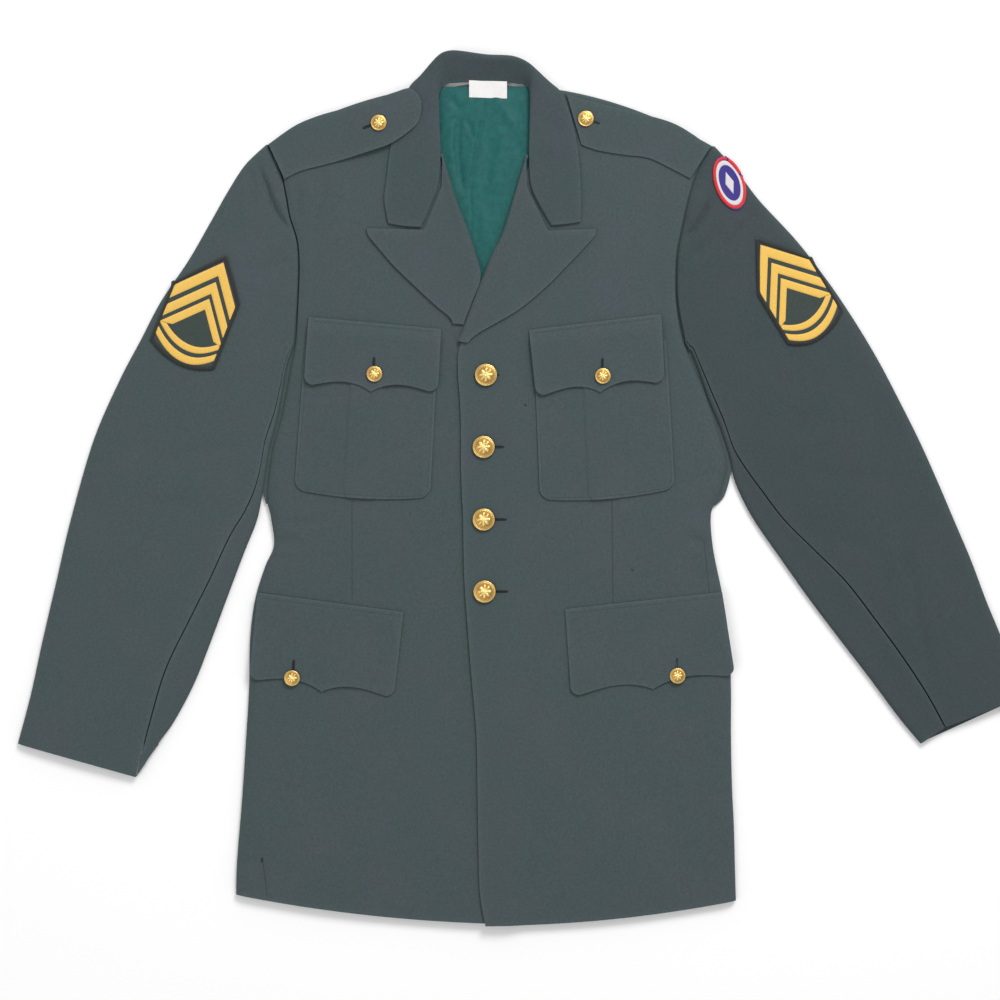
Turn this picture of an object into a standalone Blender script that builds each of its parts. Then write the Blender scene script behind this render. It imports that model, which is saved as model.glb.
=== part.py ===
"""A men's four-button service dress jacket, laid flat on its back.

The wearer's left is at +X, the collar at +Y and the table at z = 0. Plan places in
the tables are millimetres on the cutting table: across from its left edge and down
from its top edge. Heights are millimetres above the table.
"""
import math

import bmesh
import bpy
from mathutils import Vector

MM = 0.001

# The lay: where the middle of the laid jacket falls on the cutting table
MID_ACROSS = 520.5
MID_DOWN = 488.7

# Thickness of each kind of cloth, and the gap left between pieces
BACK_THICK = 2.2
FRONT_THICK = 2.6
SLEEVE_THICK = 2.1
COLLAR_THICK = 2.1
LAPEL_THICK = 2.3
LINING_THICK = 0.9
FLAP_THICK = 1.8
POCKET_THICK = 1.5
PATCH_THICK = 1.3
GAP = 0.3

# Heights of the outer faces above the table
FRONT_TOP = 8.6
OVERLAP_RISE = 3.0
SLEEVE_TOP = 8.1
SIDE_SEAM = BACK_THICK + 1.5
EDGE_ROUND = 9.0

# The overlap of the left front: full rise up to its first edge, none past the second
OVERLAP_FULL = 506.0
OVERLAP_GONE = 530.0

# Buttons: diameters of the 36 line and 25 line sizes, and their heights
BUTTON_LARGE = 22.6
BUTTON_SMALL = 15.9
BUTTON_HEIGHT = 0.3

NAVY_GREEN = (0.066, 0.093, 0.098)
COLLAR_GREEN = (0.055, 0.082, 0.086)
TEAL = (0.020, 0.112, 0.110)
WHITE = (0.75, 0.75, 0.73)
GOLD = (0.80, 0.58, 0.20)
RED = (0.72, 0.02, 0.03)


def smooth(rows, t):
    """A point on the smooth curve through the rows, t from 0 at the first to 1 at the last."""
    last = len(rows) - 1
    s = min(max(t, 0.0), 1.0) * last
    i = min(int(s), last - 1)
    f = s - i
    a, b, c, d = (rows[min(max(j, 0), last)] for j in (i - 1, i, i + 1, i + 2))
    return tuple(
        0.5 * (2 * q + (r - p) * f + (2 * p - 5 * q + 4 * r - w) * f * f
               + (3 * q - p - 3 * r + w) * f ** 3)
        for p, q, r, w in zip(a, b, c, d))


def straight(rows, t):
    """A point on the straight runs between the rows."""
    last = len(rows) - 1
    s = min(max(t, 0.0), 1.0) * last
    i = min(int(s), last - 1)
    return tuple(p + (q - p) * (s - i) for p, q in zip(rows[i], rows[i + 1]))


def ease(t):
    """0 to 1 with a soft start and end."""
    t = min(max(t, 0.0), 1.0)
    return t * t * (3 - 2 * t)


def turned(distance, radius=EDGE_ROUND):
    """How far a rounded edge has risen at a distance inside it, from 0 to 1."""
    inside = 1 - min(max(distance / radius, 0.0), 1.0)
    return math.sqrt(1 - inside * inside)


def edge_spaced(t, length, cells, edge_cells=3, radius=EDGE_ROUND):
    """Distance from a rounded edge, with the first cells close together over its turn."""
    s = t * cells
    if s <= edge_cells:
        return radius * (1 - math.cos(s / edge_cells * math.pi / 2))
    return radius + (length - radius) * (s - edge_cells) / (cells - edge_cells)


def on_table(across, down, height):
    """The world point of a place on the cutting table."""
    return Vector(((across - MID_ACROSS) * MM, (MID_DOWN - down) * MM, height * MM))


def make_finish(name, colour, metallic, roughness):
    finish = bpy.data.materials.new(name)
    finish.use_nodes = True
    shader = finish.node_tree.nodes["Principled BSDF"]
    shader.inputs["Base Color"].default_value = (*colour, 1.0)
    shader.inputs["Metallic"].default_value = metallic
    shader.inputs["Roughness"].default_value = roughness
    finish.diffuse_color = (*colour, 1.0)
    return finish


def add_object(name, mesh, colour, metallic=0.0, roughness=0.85):
    """Put a mesh in the jacket's collection, with a material of its own."""
    mesh.materials.append(make_finish(name + "_finish", colour, metallic, roughness))
    piece = bpy.data.objects.new(name, mesh)
    jacket.objects.link(piece)
    piece.parent = lay
    return piece


def cloth(name, place, cells, thick, colour):
    """A sheet of cloth: place(u, v) gives its outer face, and Solidify its thickness.

    cells are the numbers of cells across (u) and along (v). Seen from outside, u runs
    to the right where v runs up.
    """
    grid = bmesh.new()
    bmesh.ops.create_grid(grid, x_segments=cells[0], y_segments=cells[1], size=0.5)
    for vertex in grid.verts:
        vertex.co = place(vertex.co.x + 0.5, vertex.co.y + 0.5)
    mesh = bpy.data.meshes.new(name)
    grid.to_mesh(mesh)
    grid.free()
    mesh.shade_smooth()
    piece = add_object(name, mesh, colour)
    wall = piece.modifiers.new("Cloth thickness", "SOLIDIFY")
    wall.thickness = thick * MM
    wall.offset = -1.0
    return piece


# Where each side of the body runs, from the hem to the shoulder: across, down, and
# how far its edge is rounded over. Above the underarm it is the armhole seam.
SIDE_RIGHT = [
    # across, down, rounding
    (235, 895, 1), (236, 862, 1), (241, 800, 1), (245, 740, 1), (248, 690, 1), (249, 640, 1),
    (254, 600, 1), (264, 567, 1), (273, 545, 1), (270, 518, 1), (266, 495, 1), (271, 452, 1),
    (281, 413, 1), (289, 370, 1), (295, 341, 0.6), (297.5, 308, 0), (299, 267, 0), (297, 240, 0),
    (290, 217, 0), (286, 195, 0), (281, 172, 0), (273, 154, 0), (267, 144, 0),
]
SIDE_LEFT = [
    (737, 901, 1), (736, 868, 1), (735, 828, 1), (733, 785, 1), (732, 735, 1), (732, 688, 1),
    (730, 640, 1), (724, 598, 1), (714, 548, 1), (712, 514, 1), (719, 499, 1), (725, 480, 1),
    (727, 462, 1), (719, 432, 1), (709, 401, 1), (697, 372, 1), (683, 338, 0.6), (676.5, 304, 0),
    (675.5, 276, 0), (677, 251, 0), (681, 231, 0), (685, 212, 0), (690.5, 190, 0),
    (697, 171, 0), (706, 155, 0), (713, 145.5, 0),
]
# The other edge of each front, row for row with its side: the button edge, then the
# line that the lapel rolls on, up to the neck: across, down.
EDGE_RIGHT = [
    (503, 924), (503, 870), (503, 805), (503, 742), (503, 690), (503, 642),
    (503, 600), (503, 562), (503, 532), (503, 506), (503, 482), (503, 442),
    (503, 405), (503, 370), (501, 345), (490, 305), (475, 268), (466, 237),
    (455.5, 208), (446, 180), (438, 150), (435.5, 118), (434.5, 86),
]
EDGE_LEFT = [
    (485.5, 926), (480, 893), (478.5, 850), (477.5, 790), (476.5, 735), (472, 682),
    (468, 632), (464.5, 582), (463.5, 545), (463, 515), (462, 497), (461.5, 480),
    (461, 462), (461, 430), (460, 400), (458, 372), (460, 346), (477.8, 302),
    (487.8, 275), (496.3, 254), (505.8, 235), (515, 207), (524, 181),
    (532, 150), (534.5, 117), (535.5, 86),
]
# How far the hem and the shoulder bow out past a straight line
HEM_BOW = 6.0
SHOULDER_BOW = 10.5
SEAM_INSET = 0.6
BODY_LENGTH = 780.0
OVERLAP_SPARE = 14.0
# The right front sags unevenly by this much below its full height, in waves this long
SAG = 0.25
SAG_ACROSS = 17.0
SAG_DOWN = 11.0


def overlap_height(across):
    """Height of the left front's outer face: it climbs over the right front's edge."""
    gone = ease((across - OVERLAP_FULL) / (OVERLAP_GONE - OVERLAP_FULL))
    return FRONT_TOP + OVERLAP_RISE * (1 - gone)


def over_left_height(across):
    """Height of the left front where other pieces lie on it, with a little to spare."""
    return overlap_height(across - OVERLAP_SPARE)


def flat_height(across):
    """Height of the right front's outer face."""
    return FRONT_TOP


def column_distance(column, cells, width, edge_across):
    """Distance from the side of a front's column: close over the side's rounding, even
    across the chest, and then one column at each end of the overlap's slope."""
    to_slope = (max(OVERLAP_GONE - edge_across, 30.0), max(OVERLAP_FULL - edge_across, 12.0))
    near_edge = (width - to_slope[0], width - to_slope[1], width - to_slope[1] / 2, width)
    turn_cells = 3
    if column <= turn_cells:
        return EDGE_ROUND * (1 - math.cos(column / turn_cells * math.pi / 2))
    from_edge = column - (cells - 3)
    if from_edge >= 0:
        return near_edge[from_edge]
    share = (column - turn_cells) / (cells - 3 - turn_cells)
    return EDGE_ROUND + (near_edge[0] - EDGE_ROUND) * share


def sagged(across, down):
    """How far the cloth sags at a place, as a part of the most, from 0 to 1."""
    return 0.5 + 0.5 * math.sin(down / SAG_DOWN) * math.sin(across / SAG_ACROSS)


def body_place(side, edge, sign, cells, surface, inset=SEAM_INSET, sag=0.0):
    """The outer face of a front, from its side (sign +1 where that is on the left), or
    the upper face of a half of the back where no surface is given."""
    def place(u, v):
        from_side = u if sign > 0 else 1 - u
        rise = 1.0
        row = v
        if surface:
            from_shoulder = edge_spaced(1 - v, BODY_LENGTH, cells[1])
            row = 1 - from_shoulder / BODY_LENGTH
            rise = turned(from_shoulder)
        side_across, side_down, rounding = smooth(side, row)
        edge_across, edge_down = smooth(edge, row)
        side_across += sign * inset
        width = math.hypot(edge_across - side_across, edge_down - side_down)
        inside = width * from_side
        if surface:
            column = round(from_side * cells[0])
            reach = edge_across if sign < 0 else OVERLAP_FULL - 20.0
            inside = column_distance(column, cells[0], width, reach)
        part = inside / width
        bow = 4 * part * (1 - part)
        down = side_down + (edge_down - side_down) * part
        down += bow * HEM_BOW * (1 - ease(row / 0.08))
        down -= bow * SHOULDER_BOW * ease((row - 0.86) / 0.14)
        across = side_across + (edge_across - side_across) * part
        if not surface:
            return on_table(across, down, BACK_THICK)
        rise *= 1 - rounding * (1 - turned(inside))
        top = surface(across) - sag * sagged(across, down)
        return on_table(across, down, SIDE_SEAM + (top - SIDE_SEAM) * rise)

    return place


def add_body():
    """The two halves of the back, flat on the table, and the two fronts over them."""
    centre_right = [(483.4, 921 - 839 * (i / 22)) for i in range(23)]
    centre_left = [(484.0, 921 - 839 * (i / 25)) for i in range(26)]
    cells = (7, 22)
    cloth("back_right", body_place(SIDE_RIGHT, centre_right, 1, cells, None, 1.2), cells,
          BACK_THICK, NAVY_GREEN)
    cloth("back_left", body_place(SIDE_LEFT, centre_left, -1, cells, None, 1.2), cells,
          BACK_THICK, NAVY_GREEN)
    cells = (12, 24)
    cloth("front_right", body_place(SIDE_RIGHT, EDGE_RIGHT, 1, cells, flat_height, sag=SAG),
          cells, FRONT_THICK, NAVY_GREEN)
    cloth("front_left", body_place(SIDE_LEFT, EDGE_LEFT, -1, cells, overlap_height), cells,
          FRONT_THICK, NAVY_GREEN)


# Sleeves, from the cuff to the armhole: the outer edge, the front crease where the top
# sleeve meets the under sleeve, and the inner edge: across, down of each.
SLEEVE_RIGHT = [
    (18, 744, 137, 777.5, 160.5, 741), (31, 695, 150, 724, 175, 721),
    (43, 640, 166, 670, 195, 683), (57, 580, 190, 620, 212, 640), (71, 520, 210, 580, 228, 597),
    (94, 440, 230, 537, 245, 552), (120, 380, 245, 512, 257, 522), (141, 340, 255, 490, 262, 500),
    (162, 300, 261, 468, 265.5, 478), (189, 260, 266, 440, 270.5, 448),
    (212, 220, 275, 412, 278.5, 418), (229, 190, 280.5, 388, 283, 393),
    (246, 164, 286, 362, 287.5, 368), (267, 144, 295, 341, 294.3, 345.5),
]
SLEEVE_LEFT = [
    (1023, 697, 944, 727.5, 919.5, 744), (1010, 660, 925, 693, 897, 717),
    (1000, 636, 900, 655, 868, 678), (985, 600, 875, 621, 838, 639), (970, 560, 845, 582, 807, 598),
    (953, 520, 812, 549, 778, 557), (936, 480, 783, 520, 757, 527), (918, 440, 760, 490, 744, 505),
    (898, 400, 744, 468, 733, 480), (877, 360, 732, 448, 727.5, 455),
    (853, 320, 722, 420, 718, 426), (826, 280, 710, 392, 706, 397),
    (795, 240, 700, 368, 697.5, 372), (758, 200, 692, 349, 690, 353),
    (736, 171, 688, 345, 687, 350), (713, 145.5, 683, 338, 683.5, 342.5),
]
# The part of each sleeve's length over which its sections swing round to the armhole
CAP_START = 0.74
SLEEVE_GAP_LEFT = 1.8
SLEEVE_GAP_RIGHT = -1.0
UNDER_SIDE = 3.4
CREASE_DROP = 1.3
CREASE_GAP = 1.0


def sleeve_row(table, seam, gap, row, part):
    """A plan place on a sleeve: part 0 is its outer edge, 1 its crease, 2 its inner edge."""
    values = smooth(table, row)
    outer, crease, inner = values[0:2], values[2:4], values[4:6]
    if part <= 1:
        across, down = (p + (q - p) * part for p, q in zip(outer, crease))
    else:
        across, down = (p + (q - p) * (part - 1) for p, q in zip(crease, inner))
    cap = ease((row - CAP_START) / (1 - CAP_START))
    if cap > 0 and part < 1:
        last = table[-1]
        chord = [p + (q - p) * part for p, q in zip(last[0:2], last[2:4])]
        seam_point = smooth(seam, 1 - part)
        across += cap * (seam_point[0] - chord[0])
        down += cap * (seam_point[1] - chord[1])
    return across + gap, down


def add_sleeve(side_name, table, seam, gap):
    """A top sleeve and an under sleeve, at a signed gap to the right of the body's side."""
    outward = math.copysign(1, gap)
    top_cells = (10, 17)
    under_cells = (13, 17)

    def top_place(u, v):
        from_outer = u if outward < 0 else 1 - u
        outer = sleeve_row(table, seam, gap, v, 0)
        crease = sleeve_row(table, seam, gap, v, 1)
        width = math.dist(outer, crease) - 0.4
        inside = edge_spaced(from_outer, width, top_cells[0])
        across, down = sleeve_row(table, seam, gap, v, inside / (width + 0.4))
        height = SIDE_SEAM + (SLEEVE_TOP - SIDE_SEAM) * turned(inside)
        return on_table(across, down, height)

    def under_place(u, v):
        along = u if outward < 0 else 1 - u
        crease = sleeve_row(table, seam, gap, v, 1)
        inner = sleeve_row(table, seam, gap, v, 2)
        outer = sleeve_row(table, seam, gap, v, 0)
        fall = math.dist(crease, inner)
        turn = min(EDGE_ROUND / 2, 0.7 * fall)
        flat = max(fall - turn - CREASE_GAP, 0.0)
        sink = min(CREASE_DROP, flat / 8)
        shelf = 0.25
        bend = 0.55
        if along < shelf:
            run = along / shelf
            part = 1 + (CREASE_GAP + flat * run) / fall
            height = SLEEVE_TOP - sink * run
        elif along < bend:
            angle = (along - shelf) / (bend - shelf) * math.pi
            part = 2 - turn / fall * (1 - math.sin(angle))
            height = (SLEEVE_TOP - sink) / 2 * (1 + math.cos(angle))
        else:
            run = (along - bend) / (1 - bend)
            start_across, start_down = sleeve_row(table, seam, gap, v, 2 - turn / fall)
            end_across, end_down = outer
            across = start_across + (end_across - outward * 1.6 - start_across) * run
            down = start_down + (end_down - start_down) * run
            cap = ease((v - CAP_START) / (1 - CAP_START))
            bow = 4 * run * (1 - run)
            return on_table(across - outward * bow * cap * 10, down, 0)
        across, down = sleeve_row(table, seam, gap, v, part)
        return on_table(across, down, height)

    cloth("sleeve_" + side_name + "_top", top_place, top_cells, SLEEVE_THICK, NAVY_GREEN)
    cloth("sleeve_" + side_name + "_under", under_place, under_cells, SLEEVE_THICK, NAVY_GREEN)


# The collar, from its front end on the left of the lay, round the back of the neck to
# the other end. Each station has five places across the cloth, as across, down, height:
# leaf edge, leaf, crest, stand and neck seam.
COLLAR = [
    (388.5, 223.5, 11.4, 404, 226, 11.7, 417, 226.8, 11.9, 421.0, 226.8, 11.5, 421.6, 227.1, 9.6),
    (384.5, 200, 11.4, 406, 200, 11.7, 428, 202, 11.9, 431.6, 202.3, 11.4, 432.1, 202.6, 9.6),
    (386.5, 180, 11.4, 412, 180, 11.8, 434.5, 183, 12.0, 438.2, 183.3, 11.3, 438.6, 183.5, 9.6),
    (391, 146, 11.4, 414, 149, 12.0, 435.5, 152, 12.3, 440.2, 152, 11.3, 440.4, 152, 9.4),
    (400, 114, 11.6, 418, 116, 12.4, 434, 117.5, 12.6, 439, 118, 11.4, 438.8, 118, 9.4),
    (409, 88, 11.9, 422, 84, 13.6, 434, 86, 14.6, 439, 90, 12.0, 439.5, 94, 9.0),
    (424, 73, 6.0, 430, 64.5, 12.5, 438, 61.5, 18.0, 443, 72, 13.0, 445, 84.5, 6.0),
    (447, 59, 1.5, 448, 52.5, 11.0, 452, 53.0, 19.2, 455, 67, 14.0, 457, 82.5, 5.5),
    (486, 61, 1.5, 486, 55, 10.0, 486, 57.5, 19.2, 486, 69, 13.5, 486, 81.5, 5.5),
    (519, 62, 1.5, 517, 57.5, 11.0, 516, 60, 19.2, 515, 71, 13.5, 514, 83, 5.5),
    (547.5, 80.5, 6.0, 540, 73, 12.0, 532, 69, 17.3, 528.5, 78, 13.0, 526.5, 86, 6.0),
    (561, 92.5, 11.8, 548, 88, 13.3, 535, 89, 14.3, 530.4, 92, 12.2, 530, 96, 9.0),
    (570.2, 115, 11.7, 552, 116, 12.4, 535, 117, 12.7, 530, 118, 11.6, 530.2, 118, 9.8),
    (577, 145, 11.6, 554, 149, 12.1, 532, 151, 12.5, 529.1, 152, 11.6, 529.2, 152, 9.9),
    (580.3, 181, 11.5, 556, 182, 11.8, 534, 183.5, 12.2, 530.8, 183.4, 11.5, 530.5, 183.5, 9.9),
    (580.8, 201, 11.5, 561, 201, 11.7, 541.5, 202.5, 12.1, 538.3, 202.2, 11.5, 537.8, 202.3, 9.9),
    (580.3, 222, 11.4, 567, 224, 11.7, 555, 225, 12.0, 551.6, 225.2, 11.5, 551.1, 225.4, 9.8),
]


def add_collar():
    """Leaf and stand in one piece of cloth, standing round the neck and folded over."""
    def place(u, v):
        station = smooth(COLLAR, v)
        places = [station[i:i + 3] for i in range(0, 15, 3)]
        return on_table(*smooth(places, u))

    cloth("collar", place, (9, 34), COLLAR_THICK, COLLAR_GREEN)


# Lapels, from the bottom end up to the gorge seam: four places across each, from the
# roll to the outer edge, as across, down, and then 1 where the edge is rolled under.
LAPEL_RIGHT = [
    (463.5, 324.5, 460, 324.2, 456.5, 323.8, 453, 323.5, 0),
    (466.0, 317, 460, 317, 454, 317, 449, 316.5, 0), (472.0, 302, 460, 303, 447, 303, 433, 303, 0),
    (480.5, 277, 456, 275, 425, 273, 398, 270, 0), (476.5, 255, 450, 255, 420, 256, 384.5, 255, 1),
    (467.5, 228, 450, 236, 424, 243, 371, 239, 1),
    (456.5, 200, 447, 215, 424, 235, 367.5, 233, 1),
    (442.5, 153, 441.8, 187, 424, 230.2, 367, 228.5, 1),
]
LAPEL_LEFT = [
    (457.5, 341, 461, 341.7, 464, 342.3, 467.5, 343, 1),
    (463.5, 327, 468, 329, 473, 331, 479, 333, 1), (474.0, 299, 488, 302, 502, 307, 517, 311, 1),
    (483.5, 275, 503, 278, 524, 283, 545, 288, 1), (491.5, 255, 515, 258, 540, 263, 566, 267, 1),
    (501.0, 236, 520, 241, 550, 247, 585, 247, 1),
    (510.0, 209, 520, 218, 547, 236, 594.5, 236, 1),
    (526.0, 154, 527, 187.5, 548, 231, 596, 228.8, 1),
]
ROLL_DROP = 4.0
# Where the columns past the rolled edge stand: the corners of the gorge are at thirds
LAPEL_COLUMNS = (0.18, 1 / 3, 0.5, 2 / 3, 0.78, 0.89, 1.0)


def add_lapel(name, table, outward, surface):
    """A facing turned back over its front: its first cells are the rolled edge."""
    turn_cells = 2
    cells = (turn_cells + len(LAPEL_COLUMNS), 16)

    def place(u, v):
        across_part = u if outward > 0 else 1 - u
        row = smooth(table, v)
        places = [row[i:i + 2] for i in range(0, 8, 2)]
        roll_across, roll_down = places[0]
        length = max(math.dist(places[0], places[3]), 0.5)
        turn = min(4.0, 0.3 * length)
        column = round(across_part * cells[0])
        top = LAPEL_THICK + GAP + 0.1
        if column <= turn_cells:
            angle = column / turn_cells * math.pi / 2
            part = turn * (1 - math.cos(angle)) / length
            drop = ROLL_DROP * (1 - math.sin(angle)) * min(1.0, length / 12) * row[8]
        else:
            part = LAPEL_COLUMNS[column - turn_cells - 1]
            drop = 0.0
        across, down = straight(places, part)
        return on_table(across, down, surface(across) + top - drop)

    cloth(name, place, cells, LAPEL_THICK, NAVY_GREEN)


# The back lining and the label sewn in the neck: left and right edge, down
LINING = [
    (441, 529, 86), (437, 533, 106), (428, 541, 150), (434, 538, 195), (450, 520, 240),
    (468, 498, 285),
]
LINING_TOP = BACK_THICK + GAP + LINING_THICK
LABEL = (469, 507, 98, 86.5)
LABEL_THICK = 0.6


def add_neck_inside():
    def lining_place(u, v):
        left, right, down = smooth(LINING, 1 - v)
        return on_table(left + (right - left) * u, down, LINING_TOP)

    def label_place(u, v):
        left, right, bottom, top = LABEL
        height = LINING_TOP + GAP + LABEL_THICK
        return on_table(left + (right - left) * u, bottom + (top - bottom) * v, height)

    cloth("lining_back", lining_place, (6, 10), LINING_THICK, TEAL)
    cloth("neck_label", label_place, (3, 2), LABEL_THICK, WHITE)


# Flaps: upper left, upper right, lower left and lower right corner, as across, down
CHEST_FLAP_RIGHT = (308.5, 317, 441.2, 329, 304, 384.5, 438, 392)
CHEST_FLAP_LEFT = (528.8, 330, 661, 314, 536, 396, 664.5, 382)
SKIRT_FLAP_RIGHT = (257.5, 592.5, 403.5, 612, 249, 679, 394, 697)
SKIRT_FLAP_LEFT = (565, 609, 722, 592, 571, 696, 735, 675)
FLAP_HUMP = 6.0
FLAP_POINT = 4.0
FLAP_CORNER = 9.0
# Chest pockets: the same four corners, and the pleat's edges as parts of the width
CHEST_POCKET_RIGHT = (305, 345, 438, 350, 294, 491, 430, 499)
CHEST_POCKET_LEFT = (534, 350, 666, 341, 540, 501, 675, 490)
PLEAT = (0.36, 0.61)
PLEAT_RISE = 1.0
POCKET_SAG = 3.5
POCKET_RISE = GAP + POCKET_THICK
FLAP_LIFT = POCKET_RISE + PLEAT_RISE + GAP


def corner_place(corners, u, v):
    """A place between four corners, v from 0 at the bottom to 1 at the top."""
    upper_left, upper_right = corners[0:2], corners[2:4]
    lower_left, lower_right = corners[4:6], corners[6:8]
    return tuple((a + (b - a) * u) * v + (c + (d - c) * u) * (1 - v)
                 for a, b, c, d in zip(upper_left, upper_right, lower_left, lower_right))


def corner_inset(height_above, radius):
    """How far a rounded lower corner draws its side in."""
    return radius * (1 - turned(height_above, radius))


def add_flap(name, corners, surface, lifted):
    """A scalloped flap sewn on along its top edge; lifted is its rise over a pocket."""
    drop = abs(corners[5] - corners[1])
    width = abs(corners[2] - corners[0])
    cells = (16, 6)

    def place(u, v):
        above = drop * v ** 1.5
        side = corner_inset(above, FLAP_CORNER) / width
        across, down = corner_place(corners, side + u * (1 - 2 * side), above / drop)
        wave = abs(2 * u - 1)
        scallop = FLAP_POINT * (1 - wave) ** 2 - FLAP_HUMP * math.sin(math.pi * wave ** 0.8)
        down += scallop * (1 - above / drop) ** 2
        climb = lifted * ease((drop - above) / 16)
        return on_table(across, down, surface(across) + GAP + FLAP_THICK + climb)

    cloth(name, place, cells, FLAP_THICK, NAVY_GREEN)


def add_chest_pocket(name, corners, surface):
    """A patch pocket with a box pleat raised down its middle."""
    drop = abs(corners[5] - corners[1])
    width = abs(corners[2] - corners[0])
    steps = [0, 0.1, 0.22, PLEAT[0] - 0.012, PLEAT[0] + 0.012, 0.485, PLEAT[1] - 0.012,
             PLEAT[1] + 0.012, 0.74, 0.87, 1.0]
    cells = (len(steps) - 1, 8)

    def place(u, v):
        column = round(u * cells[0])
        part = steps[column]
        above = drop * v ** 1.6
        side = corner_inset(above, 1.4 * FLAP_CORNER) / width
        across, down = corner_place(corners, side + part * (1 - 2 * side), above / drop)
        down += POCKET_SAG * 4 * part * (1 - part) * (1 - above / drop)
        on_pleat = PLEAT[0] < part < PLEAT[1]
        height = surface(across) + POCKET_RISE + (PLEAT_RISE if on_pleat else 0)
        return on_table(across, down, height)

    cloth(name, place, cells, POCKET_THICK, NAVY_GREEN)


# Shoulder loops, from the sleeve end to the neck end: upper edge, lower edge, and the
# rise over what lies under them: across, down of each.
LOOP_RIGHT = [
    (268.5, 144.5, 284.5, 179, 0.2), (294, 126.5, 301, 171, 0.2), (317, 116.5, 322, 165.5, 0.5),
    (345, 108.5, 341, 160.5, 1.2), (368, 102, 370, 151.5, 4.2), (395, 93, 391, 144, 4.6),
    (409, 89, 409, 132, 4.6), (417, 93.5, 418, 123, 4.6), (421.5, 102, 421.5, 112, 4.6),
]
LOOP_LEFT = [
    (566.5, 94.5, 581.5, 144.5, 0), (582, 99, 587, 147, 0), (606, 105, 600, 151, 0),
    (640, 113.5, 624, 155, 0), (671, 122.5, 648, 158, 0), (692, 134, 670, 168, 0),
    (710, 147.5, 690, 178.5, 0),
]


def add_shoulder_loop(name, table):
    def place(u, v):
        upper_across, upper_down, lower_across, lower_down, rise = smooth(table, u)
        across = lower_across + (upper_across - lower_across) * v
        down = lower_down + (upper_down - lower_down) * v
        return on_table(across, down, FRONT_TOP + GAP + FLAP_THICK + rise)

    cloth(name, place, (12, 4), FLAP_THICK, NAVY_GREEN)


# Rank patches: the place of the apex, the unit step down the patch, the widths on its
# two sides, and how far down it each side starts and ends.
RANK_LENGTH = 121.0
RANK_PATCH_RIGHT = ((227, 254), (-0.366, 0.931), 41, 31, 46, 42, 107, 112)
RANK_PATCH_LEFT = ((755.5, 237), (0.520, 0.854), 29, 37.5, 50, 46, 108, 108)


def add_rank_patch(name, patch):
    """A badge of chevrons: a point at the top, straight sides and a rounded foot."""
    (apex_across, apex_down), (step_x, step_y), left, right = patch[0:4]
    left_start, right_start, left_end, right_end = patch[4:8]

    def place(u, v):
        beside = -left + (left + right) * u
        part = abs(beside) / (left if beside < 0 else right)
        start = (left_start if beside < 0 else right_start) * part
        end_at_side = left_end if beside < 0 else right_end
        end = RANK_LENGTH - (RANK_LENGTH - end_at_side) * part ** 2
        along = end + (start - end) * v
        across = apex_across + step_x * along + step_y * beside
        down = apex_down + step_y * along - step_x * beside
        return on_table(across, down, SLEEVE_TOP + GAP + PATCH_THICK)

    cloth(name, place, (10, 6), PATCH_THICK, GOLD)


# The round patch on the left shoulder, seen at a slant over the sleeve's head
SHOULDER_PATCH_AT = (729.5, 183)
SHOULDER_PATCH_HALF = (14.5, 28.0)
SHOULDER_PATCH_TILT = math.radians(19)


def add_shoulder_patch():
    centre_across, centre_down = SHOULDER_PATCH_AT
    half_across, half_along = SHOULDER_PATCH_HALF
    lean_x, lean_y = math.sin(SHOULDER_PATCH_TILT), math.cos(SHOULDER_PATCH_TILT)

    def place(u, v):
        x, y = 2 * u - 1, 2 * v - 1
        beside = x * math.sqrt(1 - y * y / 2) * half_across
        along = y * math.sqrt(1 - x * x / 2) * half_along
        across = centre_across + beside * lean_y - along * lean_x
        down = centre_down - along * lean_y - beside * lean_x
        return on_table(across, down, SLEEVE_TOP + GAP + PATCH_THICK)

    cloth("shoulder_patch", place, (8, 8), PATCH_THICK, RED)


# A button's turned profile, from its crown down its outer side to the shank's foot:
# distance from the axis as a part of the radius, height as a part of the radius
BUTTON_PROFILE = [
    (0, 0.56), (0.5, 0.50), (0.82, 0.36), (1.0, 0.20), (0.96, 0.12), (0.30, 0.10), (0.30, 0),
    (0, 0),
]
CHEST_FLAP_TOP = GAP + FLAP_THICK + FLAP_LIFT - GAP
SKIRT_FLAP_TOP = GAP + FLAP_THICK
# Each button: name, diameter, across, down, height of the cloth under it
BUTTONS = [
    ("front_button_1", BUTTON_LARGE, 486.0, 375.0, FRONT_TOP + OVERLAP_RISE),
    ("front_button_2", BUTTON_LARGE, 483.7, 447.0, FRONT_TOP + OVERLAP_RISE),
    ("front_button_3", BUTTON_LARGE, 483.7, 519.5, FRONT_TOP + OVERLAP_RISE),
    ("front_button_4", BUTTON_LARGE, 484.6, 591.5, FRONT_TOP + OVERLAP_RISE),
    ("chest_button_right", BUTTON_SMALL, 374.7, 374.1, FRONT_TOP + CHEST_FLAP_TOP),
    ("chest_button_left", BUTTON_SMALL, 602.7, 376.2, FRONT_TOP + CHEST_FLAP_TOP),
    ("skirt_button_right", BUTTON_SMALL, 292.2, 677.9, FRONT_TOP + SKIRT_FLAP_TOP),
    ("skirt_button_left", BUTTON_SMALL, 677.4, 675.6, FRONT_TOP + SKIRT_FLAP_TOP),
    ("loop_button_right", BUTTON_SMALL, 379.0, 123.6, FRONT_TOP + SKIRT_FLAP_TOP + 4.6),
    ("loop_button_left", BUTTON_SMALL, 585.8, 119.0, FRONT_TOP + SKIRT_FLAP_TOP),
]
BUTTON_STEPS = 20


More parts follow.
